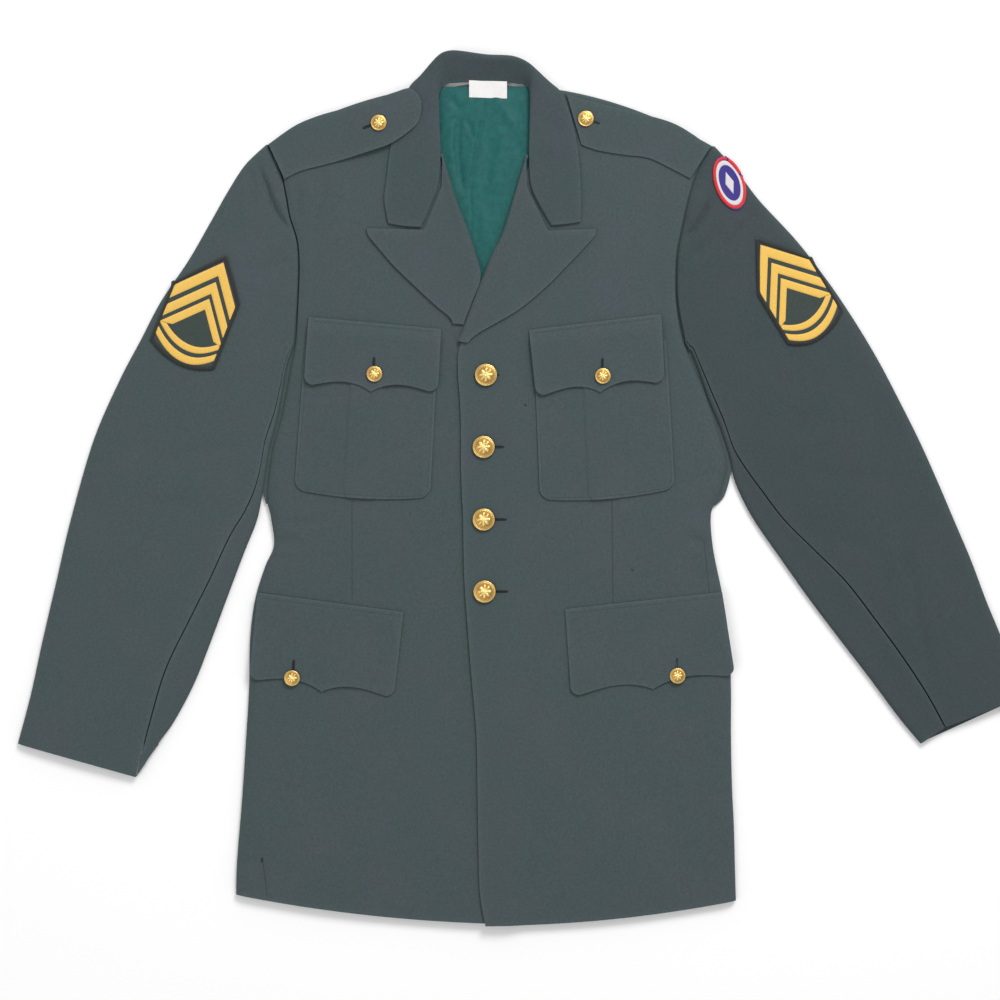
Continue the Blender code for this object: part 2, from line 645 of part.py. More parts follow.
def add_button(name, diameter, across, down, cloth_height):
    """A domed button turned from its profile, on a short shank."""
    radius = diameter / 2 * MM
    mesh = bpy.data.meshes.new(name)
    points = [(r * radius, 0, h * radius) for r, h in BUTTON_PROFILE]
    runs = [(i, i + 1) for i in range(len(points) - 1)]
    mesh.from_pydata(points, runs, [])
    button = add_object(name, mesh, GOLD, metallic=1.0, roughness=0.3)
    button.location = on_table(across, down, cloth_height + BUTTON_HEIGHT)
    lathe = button.modifiers.new("Turned", "SCREW")
    lathe.steps = BUTTON_STEPS
    lathe.render_steps = BUTTON_STEPS
    lathe.use_merge_vertices = True
    lathe.merge_threshold = 0.00001
    lathe.use_smooth_shade = True


bpy.ops.object.select_all(action="DESELECT")
for old in list(bpy.data.objects):
    bpy.data.objects.remove(old, do_unlink=True)
jacket = bpy.data.collections.new("service_dress_jacket")
bpy.context.scene.collection.children.link(jacket)
lay = bpy.data.objects.new("lay", None)
jacket.objects.link(lay)

add_body()
add_neck_inside()
add_sleeve("right", SLEEVE_RIGHT, [row[0:2] for row in SIDE_RIGHT[14:]], SLEEVE_GAP_RIGHT)
add_sleeve("left", SLEEVE_LEFT, [row[0:2] for row in SIDE_LEFT[16:]], SLEEVE_GAP_LEFT)
add_collar()
add_lapel("lapel_right", LAPEL_RIGHT, -1, flat_height)
add_lapel("lapel_left", LAPEL_LEFT, 1, over_left_height)
add_chest_pocket("chest_pocket_right", CHEST_POCKET_RIGHT, flat_height)
add_chest_pocket("chest_pocket_left", CHEST_POCKET_LEFT, over_left_height)
add_flap("chest_flap_right", CHEST_FLAP_RIGHT, flat_height, FLAP_LIFT - GAP)
add_flap("chest_flap_left", CHEST_FLAP_LEFT, over_left_height, FLAP_LIFT - GAP)
add_flap("skirt_flap_right", SKIRT_FLAP_RIGHT, flat_height, 0)
add_flap("skirt_flap_left", SKIRT_FLAP_LEFT, over_left_height, 0)
add_shoulder_loop("shoulder_loop_right", LOOP_RIGHT)
add_shoulder_loop("shoulder_loop_left", LOOP_LEFT)
add_rank_patch("rank_patch_right", RANK_PATCH_RIGHT)
add_rank_patch("rank_patch_left", RANK_PATCH_LEFT)
add_shoulder_patch()
for button_row in BUTTONS:
    add_button(*button_row)
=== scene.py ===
"""A men's service dress jacket laid flat on a table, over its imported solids."""
import math

import bpy
import numpy as np
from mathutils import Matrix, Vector
from mathutils.bvhtree import BVHTree


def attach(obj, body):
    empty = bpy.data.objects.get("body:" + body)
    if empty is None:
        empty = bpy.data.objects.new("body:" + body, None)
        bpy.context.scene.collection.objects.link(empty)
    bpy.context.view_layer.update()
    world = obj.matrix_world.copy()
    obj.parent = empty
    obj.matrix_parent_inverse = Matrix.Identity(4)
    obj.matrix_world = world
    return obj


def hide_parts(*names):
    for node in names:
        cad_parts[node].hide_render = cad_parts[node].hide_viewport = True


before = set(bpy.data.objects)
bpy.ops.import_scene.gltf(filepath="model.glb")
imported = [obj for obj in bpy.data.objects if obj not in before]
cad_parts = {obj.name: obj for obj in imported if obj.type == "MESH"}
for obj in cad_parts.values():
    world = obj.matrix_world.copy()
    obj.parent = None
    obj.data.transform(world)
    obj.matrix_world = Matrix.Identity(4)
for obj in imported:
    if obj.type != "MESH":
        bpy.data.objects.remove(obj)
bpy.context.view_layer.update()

# The back: two halves of wool serge joined down the centre, lying with their right side on
# the table. Only their edges show from above. Places on the cutting table are millimetres
# across from its left edge and down from its top edge; heights are above the table.
MM = 0.001
MID_ACROSS = 520.5
MID_DOWN = 488.7
BACK_THICK = 2.2
BACK_SETBACK = 1.2
HEM_BOW = 6.0
SHOULDER_BOW = 10.5
# The sides of the body from the hem to the shoulder: across, down, and how far the edge is
# rounded over. Above the underarm the side is the armhole seam.
SIDE_RIGHT = [
    (235, 895, 1), (236, 862, 1), (241, 800, 1), (245, 740, 1), (248, 690, 1), (249, 640, 1),
    (254, 600, 1), (264, 567, 1), (273, 545, 1), (270, 518, 1), (266, 495, 1), (271, 452, 1),
    (281, 413, 1), (289, 370, 1), (295, 341, 0.6), (297.5, 308, 0), (299, 267, 0), (297, 240, 0),
    (290, 217, 0), (286, 195, 0), (281, 172, 0), (273, 154, 0), (267, 144, 0),
]
SIDE_LEFT = [
    (737, 901, 1), (736, 868, 1), (735, 828, 1), (733, 785, 1), (732, 735, 1), (732, 688, 1),
    (730, 640, 1), (724, 598, 1), (714, 548, 1), (712, 514, 1), (719, 499, 1), (725, 480, 1),
    (727, 462, 1), (719, 432, 1), (709, 401, 1), (697, 372, 1), (683, 338, 0.6), (676.5, 304, 0),
    (675.5, 276, 0), (677, 251, 0), (681, 231, 0), (685, 212, 0), (690.5, 190, 0),
    (697, 171, 0), (706, 155, 0), (713, 145.5, 0),
]
BODY_HEM = 921.0
NECK_POINT = 82.0
CENTRE_BACK = 483.7
CENTRE_GAP = 0.3
WOOL_TONE = (0.053, 0.075, 0.077)


def smooth(rows, t):
    """Points on the smooth curve through a table's rows, for each t from 0 to 1."""
    rows = np.asarray(rows, float)
    last = len(rows) - 1
    s = np.clip(np.asarray(t, float), 0, 1) * last
    i = np.minimum(s.astype(int), last - 1)
    f = (s - i).reshape(s.shape + (1,) * (rows.ndim - 1))
    a, b, c, d = (rows[np.clip(i + k, 0, last)] for k in (-1, 0, 1, 2))
    return 0.5 * (2 * b + (c - a) * f + (2 * a - 5 * b + 4 * c - d) * f ** 2
                  + (3 * b - a - 3 * c + d) * f ** 3)


def ease(t):
    """0 to 1 with a soft start and end."""
    t = np.clip(t, 0, 1)
    return t * t * (3 - 2 * t)


def on_table(lay):
    """World points of places on the cutting table: across, down and height."""
    lay = np.asarray(lay, float)
    return np.stack([lay[..., 0] - MID_ACROSS, MID_DOWN - lay[..., 1], lay[..., 2]], -1) * MM


def place_node(tree, kind, inputs=(), **settings):
    """A shader node, with its inputs given as values or as the sockets that feed them."""
    made = tree.nodes.new(kind)
    for key, value in settings.items():
        setattr(made, key, value)
    for key, value in inputs.items() if isinstance(inputs, dict) else enumerate(inputs):
        if isinstance(value, bpy.types.NodeSocket):
            tree.links.new(value, made.inputs[key])
        else:
            made.inputs[key].default_value = value
    return made


def maths(tree, operation, *values):
    return place_node(tree, "ShaderNodeMath", values, operation=operation).outputs[0]


def tinted(tree, factor, first, second, blend="MIX"):
    """A colour mixed from two, or blended in another way, by a mask."""
    inputs = {"Factor": factor, 6: first, 7: second}
    made = place_node(tree, "ShaderNodeMix", inputs, data_type="RGBA", blend_type=blend)
    return made.outputs[2]


def new_group(name, inputs, outputs):
    """An empty node group with named sockets; returns it with its two end nodes."""
    group = bpy.data.node_groups.new(name, "ShaderNodeTree")
    for label, kind, value in inputs:
        socket = group.interface.new_socket(
            name=label, in_out="INPUT", socket_type="NodeSocket" + kind)
        if value is not None:
            socket.default_value = value
    for label, kind in outputs:
        group.interface.new_socket(
            name=label, in_out="OUTPUT", socket_type="NodeSocket" + kind)
    return group, group.nodes.new("NodeGroupInput"), group.nodes.new("NodeGroupOutput")


def make_serge():
    """Brushed serge: diagonal ribs under a short nap, in yarns of mixed greens, with a painted highlight
    along the rim of each piece.
    """
    group, given, result = new_group(
        "Brushed serge",
        [("Place", "Vector", None), ("Grain", "Float", 0.0), ("Tone", "Color", None),
         ("Mottle", "Float", 0.3), ("Rim", "Float", 0.0)],
        [("Color", "Color"), ("Roughness", "Float"), ("Height", "Float")])
    along_ribs = place_node(
        group, "ShaderNodeVectorRotate",
        {"Vector": given.outputs["Place"], "Angle": given.outputs["Grain"]},
        rotation_type="Z_AXIS").outputs[0]
    ribs = place_node(
        group, "ShaderNodeTexWave",
        {"Vector": along_ribs, "Scale": 480, "Distortion": 3.0, "Detail": 2.0,
         "Detail Scale": 1.5},
        bands_direction="DIAGONAL").outputs["Fac"]
    nap = place_node(
        group, "ShaderNodeTexNoise",
        {"Vector": along_ribs, "Scale": 1300, "Detail": 3, "Roughness": 0.65}).outputs[0]
    mottle = place_node(
        group, "ShaderNodeTexNoise",
        {"Vector": along_ribs, "Scale": 430, "Detail": 3, "Roughness": 0.7}).outputs[0]
    clouds = place_node(
        group, "ShaderNodeTexNoise",
        {"Vector": given.outputs["Place"], "Scale": 16, "Detail": 3, "Roughness": 0.5}).outputs[0]
    fleck = maths(group, "ADD", maths(group, "MULTIPLY", mottle, 0.75),
                  maths(group, "MULTIPLY", nap, 0.25))
    fleck = maths(group, "MULTIPLY", maths(group, "SUBTRACT", fleck, 0.5), 3.0)
    shade = maths(group, "MULTIPLY_ADD", fleck, given.outputs["Mottle"], 1.0)
    drift = maths(group, "MULTIPLY_ADD", clouds, 0.16, 0.92)
    # Painted highlight: up to a fifth lighter near the rim of each piece, where its rounded edge catches the
    # light.
    rim_highlight = maths(group, "MULTIPLY_ADD", given.outputs["Rim"], 0.20, 1.0)
    shade = maths(group, "MULTIPLY", maths(group, "MULTIPLY", shade, drift), rim_highlight)
    violet = tinted(group, 1.0, given.outputs["Tone"], (1.10, 0.93, 1.04, 1), "MULTIPLY")
    warm = place_node(
        group, "ShaderNodeMapRange",
        {"Value": clouds, "From Min": 0.42, "From Max": 0.62, "To Min": 0.0, "To Max": 0.6})
    yarn = tinted(group, warm.outputs[0], given.outputs["Tone"], violet)
    colour = place_node(group, "ShaderNodeVectorMath", {0: yarn, "Scale": shade},
                        operation="SCALE").outputs[0]
    height = maths(group, "ADD", maths(group, "MULTIPLY", ribs, 0.45),
                   maths(group, "MULTIPLY", nap, 0.55))
    group.links.new(colour, result.inputs["Color"])
    group.links.new(maths(group, "MULTIPLY_ADD", nap, 0.14, 0.82), result.inputs["Roughness"])
    group.links.new(height, result.inputs["Height"])
    return group


serge = make_serge()


def wool_finish(name, tone=WOOL_TONE, grain=0.0, mottle=0.3, nap_depth=0.35):
    """Wool serge whose ribs lie at a grain angle in degrees; returns the finish."""
    finish = bpy.data.materials.new(name)
    finish.use_nodes = True
    tree = finish.node_tree
    shader = tree.nodes["Principled BSDF"]
    place = place_node(tree, "ShaderNodeTexCoord").outputs["Object"]
    # The rim mask drives the painted highlight along the edges of the piece.
    rim = place_node(tree, "ShaderNodeAttribute", attribute_name="rim").outputs["Fac"]
    weave = place_node(tree, "ShaderNodeGroup", node_tree=serge)
    tree.links.new(place, weave.inputs["Place"])
    tree.links.new(rim, weave.inputs["Rim"])
    weave.inputs["Grain"].default_value = math.radians(grain)
    weave.inputs["Tone"].default_value = (*tone, 1)
    weave.inputs["Mottle"].default_value = mottle
    bump = place_node(tree, "ShaderNodeBump", {"Height": weave.outputs["Height"],
                                               "Strength": nap_depth, "Distance": 0.0005})
    tree.links.new(weave.outputs["Color"], shader.inputs["Base Color"])
    tree.links.new(weave.outputs["Roughness"], shader.inputs["Roughness"])
    tree.links.new(bump.outputs[0], shader.inputs["Normal"])
    shader.inputs["Specular IOR Level"].default_value = 0.22
    shader.inputs["Sheen Weight"].default_value = 0.06
    shader.inputs["Sheen Roughness"].default_value = 0.55
    shader.inputs["Sheen Tint"].default_value = (0.75, 0.86, 0.84, 1)
    return finish


def cloth(name, lay, thick, finish, rim_width=2.5):
    """A sheet of cloth from the lay of its outer face: rows upward, places to the right."""
    rows, columns = lay.shape[:2]
    index = np.arange(rows * columns).reshape(rows, columns)
    faces = np.stack([index[:-1, :-1], index[:-1, 1:], index[1:, 1:], index[1:, :-1]], -1)
    mesh = bpy.data.meshes.new(name)
    mesh.from_pydata(on_table(lay).reshape(-1, 3).tolist(), [], faces.reshape(-1, 4).tolist())
    right = np.cumsum(np.linalg.norm(np.diff(lay, axis=1, prepend=lay[:, :1]), axis=-1), 1)
    up = np.cumsum(np.linalg.norm(np.diff(lay, axis=0, prepend=lay[:1]), axis=-1), 0)
    # The rim mask: 1 at the edge of the piece, fading inward; the serge paints its edge highlight from it.
    to_rim = np.minimum(np.minimum(right, right[:, -1:] - right), np.minimum(up, up[-1:] - up))
    rim = mesh.attributes.new("rim", "FLOAT", "POINT")
    rim.data.foreach_set("value", np.exp(-to_rim / rim_width).astype(np.float32).ravel())
    mesh.shade_smooth()
    mesh.materials.append(finish)
    piece = bpy.data.objects.new(name + "_cloth", mesh)
    bpy.context.scene.collection.objects.link(piece)
    wall = piece.modifiers.new("Cloth thickness", "SOLIDIFY")
    wall.thickness = thick * MM
    wall.offset = -1.0
    edge = piece.modifiers.new("Turned edge", "BEVEL")
    edge.width = 0.42 * thick * MM
    edge.segments = 2
    edge.limit_method = "ANGLE"
    edge.angle_limit = math.radians(50)
    return piece


def set_in_frame(piece, node):
    """Hide the solid of a cloth piece, if it has one, and attach the piece to the root body."""
    if node:
        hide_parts(node)
    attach(piece, "root")


def body_plan(side, edge, share, rows):
    """Places between a body side and another edge: shares of the width, rows of 0 to 1."""
    from_side = smooth(side, rows)[:, None, :2]
    to_edge = smooth(edge, rows)[:, None, :2]
    plan = from_side + (to_edge - from_side) * share[..., None]
    bow = 4 * share * (1 - share)
    plan[..., 1] += bow * HEM_BOW * (1 - ease(rows / 0.08))[:, None]
    plan[..., 1] -= bow * SHOULDER_BOW * ease((rows - 0.86) / 0.14)[:, None]
    return plan


back_finish = wool_finish("back_serge", grain=0)
for back_name, side, inward in (("back_right", SIDE_RIGHT, 1), ("back_left", SIDE_LEFT, -1)):
    centre = [(CENTRE_BACK - inward * CENTRE_GAP, BODY_HEM - (BODY_HEM - NECK_POINT) * t)
              for t in np.linspace(0, 1, len(side))]
    set_back = [(across + inward * BACK_SETBACK, down) for across, down, _ in side]
    rows = np.linspace(0, 1, 110)
    share = np.tile(np.linspace(0, 1, 36), (len(rows), 1))
    plan = body_plan(set_back, centre, share, rows)
    if inward < 0:
        plan = plan[:, ::-1]
    lay = np.dstack([plan, np.full(plan.shape[:2], BACK_THICK)])
    back = cloth(back_name, lay, BACK_THICK, back_finish)
    set_in_frame(back, back_name)


# The lining of the back, teal satin, where it shows in the neck, with a plain white label
# sewn in under the collar seam. The satin is slack and lies in soft upright folds.
LINING_THICK = 0.9
LINING_TOP = 3.6
LINING = [  # left edge, right edge, down
    (441, 529, 86), (437, 533, 106), (428, 541, 150), (434, 538, 195), (450, 520, 240),
    (468, 498, 285),
]
# Folds: path of places across and down, width, height (below zero for a trough)
LINING_FOLDS = [
    ([(486, 90), (483, 116), (477.5, 147), (474, 168), (470, 185), (471.5, 211), (471, 240)], 1.3, -1.1),
    ([(480, 100), (477, 122), (472, 147), (468, 168), (465, 190)], 3.5, 1.3),
    ([(462, 108), (458.5, 128), (457.5, 152), (460, 175), (464, 195)], 3.2, -2.2),
    ([(452, 118), (450, 140), (453, 165)], 3.5, 1.2),
    ([(465, 116), (470, 128), (476, 141)], 2.5, -1.2),
    ([(446, 92), (453, 102), (462, 110)], 4.5, -1.3),
    ([(492, 96), (503, 108), (514, 124), (519, 140)], 5.0, 1.4),
    ([(500, 118), (503, 140), (498, 168), (492, 195)], 6.0, 1.3),
    ([(489, 130), (490, 155), (486, 185)], 4.0, -1.0),
    ([(520, 100), (522, 130), (518, 160)], 4.0, -1.2),
    ([(480, 200), (484, 225), (483, 250)], 4.0, 1.0),
]
LABEL = (469, 507, 97.5, 80.5)
LABEL_THICK = 0.6
LABEL_TILT = 1.2
SATIN_TONE = (0.0125, 0.098, 0.093)


def fold(plan, path, width, height):
    """The rise of a soft fold along a path, fading out towards both of its ends."""
    path = np.array(path, float)
    legs = np.diff(path, axis=0)
    lengths = np.hypot(legs[:, 0], legs[:, 1])
    nearest = np.full(plan.shape[:-1], 1e6)
    along = np.zeros(plan.shape[:-1])
    before = 0.0
    for start, leg, length in zip(path, legs, lengths):
        t = np.clip((plan - start) @ leg / length ** 2, 0, 1)
        away = np.linalg.norm(plan - start - t[..., None] * leg, axis=-1)
        closer = away < nearest
        nearest = np.where(closer, away, nearest)
        along = np.where(closer, (before + t * length) / lengths.sum(), along)
        before += length
    fade = ease(np.minimum(along, 1 - along) / 0.3 + 0.12)
    return height * fade * np.exp(-(nearest / width) ** 2)


def folded(plan, folds):
    """The sum of all the folds of a table at each place."""
    return sum(fold(plan, *row) for row in folds)


def make_satin():
    """Lining satin: very fine weft lines, small creases and a blotchy, worn gloss."""
    group, given, result = new_group(
        "Lining satin", [("Place", "Vector", None), ("Tone", "Color", None)],
        [("Color", "Color"), ("Roughness", "Float"), ("Height", "Float")])
    weft = place_node(
        group, "ShaderNodeTexWave",
        {"Vector": given.outputs["Place"], "Scale": 700, "Distortion": 1.5, "Detail": 1.0},
        bands_direction="Y").outputs["Fac"]
    crumple = place_node(
        group, "ShaderNodeTexNoise",
        {"Vector": given.outputs["Place"], "Scale": 70, "Detail": 5, "Roughness": 0.6,
         "Distortion": 0.8}).outputs[0]
    blotch = place_node(
        group, "ShaderNodeTexNoise",
        {"Vector": given.outputs["Place"], "Scale": 160, "Detail": 4, "Roughness": 0.7}).outputs[0]
    shade = maths(group, "MULTIPLY_ADD", blotch, 0.9, 0.55)
    colour = place_node(group, "ShaderNodeVectorMath", {0: given.outputs["Tone"], "Scale": shade},
                        operation="SCALE").outputs[0]
    height = maths(group, "ADD", maths(group, "MULTIPLY", weft, 0.05), crumple)
    group.links.new(colour, result.inputs["Color"])
    group.links.new(maths(group, "MULTIPLY_ADD", blotch, 0.25, 0.38), result.inputs["Roughness"])
    group.links.new(height, result.inputs["Height"])
    return group


def satin_finish():
    finish = bpy.data.materials.new("teal_satin")
    finish.use_nodes = True
    tree = finish.node_tree
    shader = tree.nodes["Principled BSDF"]
    weave = place_node(tree, "ShaderNodeGroup", node_tree=make_satin())
    tree.links.new(place_node(tree, "ShaderNodeTexCoord").outputs["Object"], weave.inputs["Place"])
    weave.inputs["Tone"].default_value = (*SATIN_TONE, 1)
    bump = place_node(tree, "ShaderNodeBump", {"Height": weave.outputs["Height"],
                                               "Strength": 0.5, "Distance": 0.0012})
    tree.links.new(weave.outputs["Color"], shader.inputs["Base Color"])
    tree.links.new(weave.outputs["Roughness"], shader.inputs["Roughness"])
    tree.links.new(bump.outputs[0], shader.inputs["Normal"])
    shader.inputs["Specular IOR Level"].default_value = 0.16
    return finish


def plain_cloth_finish(name, tone, thread=900, roughness=0.8):
    """A plain woven tape or label in one colour."""
    finish = bpy.data.materials.new(name)
    finish.use_nodes = True
    tree = finish.node_tree
    shader = tree.nodes["Principled BSDF"]
    place = place_node(tree, "ShaderNodeTexCoord").outputs["Object"]
    warp = place_node(tree, "ShaderNodeTexWave", {"Vector": place, "Scale": thread},
                      bands_direction="X").outputs["Fac"]
    weft = place_node(tree, "ShaderNodeTexWave", {"Vector": place, "Scale": thread},
                      bands_direction="Y").outputs["Fac"]
    soil = place_node(tree, "ShaderNodeTexNoise", {"Vector": place, "Scale": 260, "Detail": 4}).outputs[0]
    dulled = tuple(0.86 * part for part in tone)
    colour = tinted(tree, soil, (*dulled, 1), (*tone, 1))
    bump = place_node(tree, "ShaderNodeBump", {"Height": maths(tree, "ADD", warp, weft),
                                               "Strength": 0.4, "Distance": 0.0003})
    tree.links.new(colour, shader.inputs["Base Color"])
    tree.links.new(bump.outputs[0], shader.inputs["Normal"])
    shader.inputs["Roughness"].default_value = roughness
    return finish


rows = np.linspace(0, 1, 120)
edges = smooth(LINING, 1 - rows)
across = edges[:, :1] + (edges[:, 1:2] - edges[:, :1]) * np.linspace(0, 1, 70)
plan = np.dstack([across, np.repeat(edges[:, 2:3], 70, 1)])
from_rim = np.minimum(across - edges[:, :1], edges[:, 1:2] - across)
slack = ease((from_rim - 2) / 12) * ease((plan[..., 1] - 88) / 14)
lay = np.dstack([plan, LINING_TOP + 0.4 + slack * (1.2 + folded(plan, LINING_FOLDS))])
lay[..., 2] = np.maximum(lay[..., 2], BACK_THICK + LINING_THICK + 0.2)
lining = cloth("lining_back", lay, LINING_THICK, satin_finish())
set_in_frame(lining, "lining_back")

left, right, bottom, top = LABEL
across, up = np.meshgrid(np.linspace(0, 1, 36), np.linspace(0, 1, 20))
label_down = bottom + (top - bottom) * up + LABEL_TILT * (across - 0.5)
label_height = LINING_TOP + 1.7 + 0.35 * np.sin(across * 7 + up * 2) + 1.2 * up
lay = np.dstack([left + (right - left) * across, label_down, label_height])
label = cloth("neck_label", lay, LABEL_THICK,
              plain_cloth_finish("white_label_tape", (0.88, 0.87, 0.85)))
set_in_frame(label, "neck_label")


# The fronts: serge over a canvas chest, closed left over right. Each is turned in along its
# button edge and hem, rounded over at the side seam and shoulder, and taken in by one dart.
# The table gives the button edge and, above it, the line on which the lapel rolls.
FRONT_THICK = 2.6
FRONT_TOP = 8.6
SIDE_SEAM = BACK_THICK + 1.5
EDGE_ROUND = 11.0
OVERLAP_RISE = 3.0
OVERLAP_FULL = 506.0
OVERLAP_GONE = 530.0
SEAM_INSET = 0.6
BODY_LENGTH = 780.0
FRONT_COLUMNS = 85
FRONT_ROWS = 250
CHEST_LOFT = 1.6
EDGE_RIGHT = [
    (503, 924), (503, 870), (503, 805), (503, 742), (503, 690), (503, 642),
    (503, 600), (503, 562), (503, 532), (503, 506), (503, 482), (503, 442),
    (503, 405), (503, 370), (501, 345), (490, 305), (475, 268), (466, 237),
    (455.5, 208), (446, 180), (438, 150), (435.5, 118), (434.5, 86),
]
EDGE_LEFT = [
    (485.5, 926), (480, 893), (478.5, 850), (477.5, 790), (476.5, 735), (472, 682),
    (468, 632), (464.5, 582), (463.5, 545), (463, 515), (462, 497), (461.5, 480),
    (461, 462), (461, 430), (460, 400), (458, 372), (460, 346), (477.8, 302),
    (487.8, 275), (496.3, 254), (505.8, 235), (515, 207), (524, 181),
    (532, 150), (534.5, 117), (535.5, 86),
]
# Folds of both fronts: path, width, height
FRONT_FOLDS = [
    ([(324, 172), (321, 195), (314, 220), (306, 240)], 6.0, -1.6),
    ([(311, 176), (309, 198), (303, 218)], 5.0, 1.1),
    ([(297, 182), (297, 205), (294, 222)], 4.0, -1.4),
    ([(345, 175), (343, 200), (336, 226), (326, 250)], 8.0, 0.9),
    ([(306, 250), (303, 290), (299, 330)], 7.0, 0.9),
    ([(660, 182), (655, 205), (658, 232), (664, 255)], 8.0, -0.7),
    ([(672, 235), (667, 268), (668, 305)], 6.0, 0.8),
    ([(262, 548), (280, 541), (304, 540)], 5.0, -1.3),
    ([(258, 556), (278, 552), (300, 553)], 4.0, 0.9),
    ([(272, 520), (292, 524), (318, 522), (338, 516)], 6.0, -0.8),
    ([(714, 545), (703, 544), (686, 536)], 3.5, -1.6),
    ([(716, 534), (700, 530), (680, 520)], 5.0, 0.9),
    ([(722, 470), (700, 480), (682, 492)], 6.0, -0.7),
    ([(285, 470), (281, 500), (283, 530)], 6.0, 0.7),
    ([(352, 505), (352, 560), (353, 600)], 9.0, 0.5),
    ([(612, 505), (613, 560), (612, 604)], 9.0, 0.5),
    ([(420, 640), (424, 720), (418, 800), (424, 880)], 16.0, 0.7),
    ([(455, 640), (460, 730), (464, 820), (470, 900)], 9.0, -0.6),
    ([(545, 720), (550, 790), (546, 860)], 18.0, 0.6),
    ([(640, 730), (648, 800), (652, 870)], 16.0, -0.6),
    ([(330, 740), (322, 800), (326, 870)], 15.0, -0.6),
    ([(268, 720), (262, 790), (262, 870)], 10.0, 0.7),
    ([(520, 400), (524, 470), (520, 540)], 12.0, 0.4),
]
WAVE_HEIGHT = 0.35


def turned(distance, radius=EDGE_ROUND):
    """How far a rounded edge has risen at a distance inside it, from 0 to 1."""
    inside = 1 - np.clip(distance / radius, 0, 1)
    return np.sqrt(1 - inside * inside)


def chest_rise(plan):
    """How far the fronts' cloth stands above its flat height: the canvas chest, slow waves
    and folds, all gone at the shoulders."""
    across, down = plan[..., 0], plan[..., 1]
    chest = sum(np.exp(-((across - middle) / 62) ** 2 - ((down - 285) / 95) ** 2)
                for middle in (365, 615))
    waves = np.sin(across / 31 + down / 67) * np.sin(down / 43 - across / 90 + 0.7)
    rise = CHEST_LOFT * chest + WAVE_HEIGHT * waves + folded(plan[..., :2], FRONT_FOLDS)
    return rise * ease((down - 92) / 70)


def right_height(plan):
    """Height of the right front's outer face, and of the cloth that lies in its plane."""
    return FRONT_TOP + chest_rise(plan)


def left_height(plan):
    """Height of the left front's outer face: it climbs over the right front's edge."""
    gone = ease((plan[..., 0] - OVERLAP_FULL) / (OVERLAP_GONE - OVERLAP_FULL))
    return FRONT_TOP + OVERLAP_RISE * (1 - gone) + chest_rise(plan)


def spaced(length, cells, turn_cells=4, radius=EDGE_ROUND):
    """Distances from a rounded edge: close together over its turn, then evenly apart."""
    turn = radius * (1 - np.cos(np.linspace(0, math.pi / 2, turn_cells + 1)))
    return np.concatenate([turn, np.linspace(radius, length, cells + 1)[1:]])


def make_seam_line():
    """A mask along a straight line between two places: 1 on it and 0 past its width."""
    group, given, result = new_group(
        "Seam line", [("Place", "Vector", None), ("Start", "Vector", None),
                      ("End", "Vector", None), ("Width", "Float", 0.001)],
        [("Mask", "Float")])

    def vector(operation, *values):
        return place_node(group, "ShaderNodeVectorMath", values, operation=operation)

    flat = vector("MULTIPLY", given.outputs["Place"], (1, 1, 0)).outputs[0]
    from_start = vector("SUBTRACT", flat, given.outputs["Start"]).outputs[0]
    run = vector("SUBTRACT", given.outputs["End"], given.outputs["Start"]).outputs[0]
    along = vector("DOT_PRODUCT", from_start, run).outputs["Value"]
    length = vector("DOT_PRODUCT", run, run).outputs["Value"]
    share = place_node(group, "ShaderNodeMath", (along, length), operation="DIVIDE",
                       use_clamp=True).outputs[0]
    nearest = place_node(group, "ShaderNodeVectorMath", {0: run, "Scale": share},
                         operation="SCALE").outputs[0]
    away = vector("DISTANCE", from_start, nearest).outputs["Value"]
    near = place_node(
        group, "ShaderNodeMapRange",
        {"Value": maths(group, "DIVIDE", away, given.outputs["Width"]), "From Min": 0.0,
         "From Max": 1.0, "To Min": 1.0, "To Max": 0.0}, interpolation_type="SMOOTHSTEP")
    group.links.new(near.outputs[0], result.inputs["Mask"])
    return group


seam_line = make_seam_line()
# Lines pressed or sewn into the fronts: start, end, half width in mm, and how dark. Along the darts the
# darkening is painted shade in the seam's groove.
DART_SHADE_RIGHT = [((352, 500), (352, 600), 1.1, 0.28)]
DART_SHADE_LEFT = [((612, 500), (613, 605), 1.1, 0.38), ((704, 540), (710, 600), 1.1, 0.35)]
# Wear: a moth hole with a pulled thread, and two dark specks
WEAR_RIGHT = [((262, 859), (262, 861.5), 2.2, 0.92), ((263, 863), (267, 895), 1.0, 0.45)]
WEAR_LEFT = [((525, 405), (525.6, 405.5), 1.7, 0.85), ((632, 570), (632.5, 570.5), 1.6, 0.8)]


def add_lines(finish, lines):
    """Sew lines into a wool finish: each darkens its colour and dents its surface. On darts the darkening is
    painted shade in the seam's groove; on wear marks it is the cloth's own damage.
    """
    tree = finish.node_tree
    shader = tree.nodes["Principled BSDF"]
    colour = shader.inputs["Base Color"].links[0].from_socket
    place = next(n for n in tree.nodes if n.type == "TEX_COORD").outputs["Object"]
    bump = next(n for n in tree.nodes if n.type == "BUMP")
    height = bump.inputs["Height"].links[0].from_socket
    for start, end, width, dark in lines:
        line = place_node(tree, "ShaderNodeGroup", node_tree=seam_line)
        tree.links.new(place, line.inputs["Place"])
        line.inputs["Start"].default_value = on_table((*start, 0))
        line.inputs["End"].default_value = on_table((*end, 0))
        line.inputs["Width"].default_value = width * MM
        mask = line.outputs["Mask"]
        # Painted shade along darts; the cloth's own dark damage along wear marks.
        colour = tinted(tree, maths(tree, "MULTIPLY", mask, dark), colour, (0.01, 0.013, 0.014, 1))
        height = maths(tree, "SUBTRACT", height, maths(tree, "MULTIPLY", mask, 2.5 * dark))
    tree.links.new(colour, shader.inputs["Base Color"])
    tree.links.new(height, bump.inputs["Height"])
    return finish


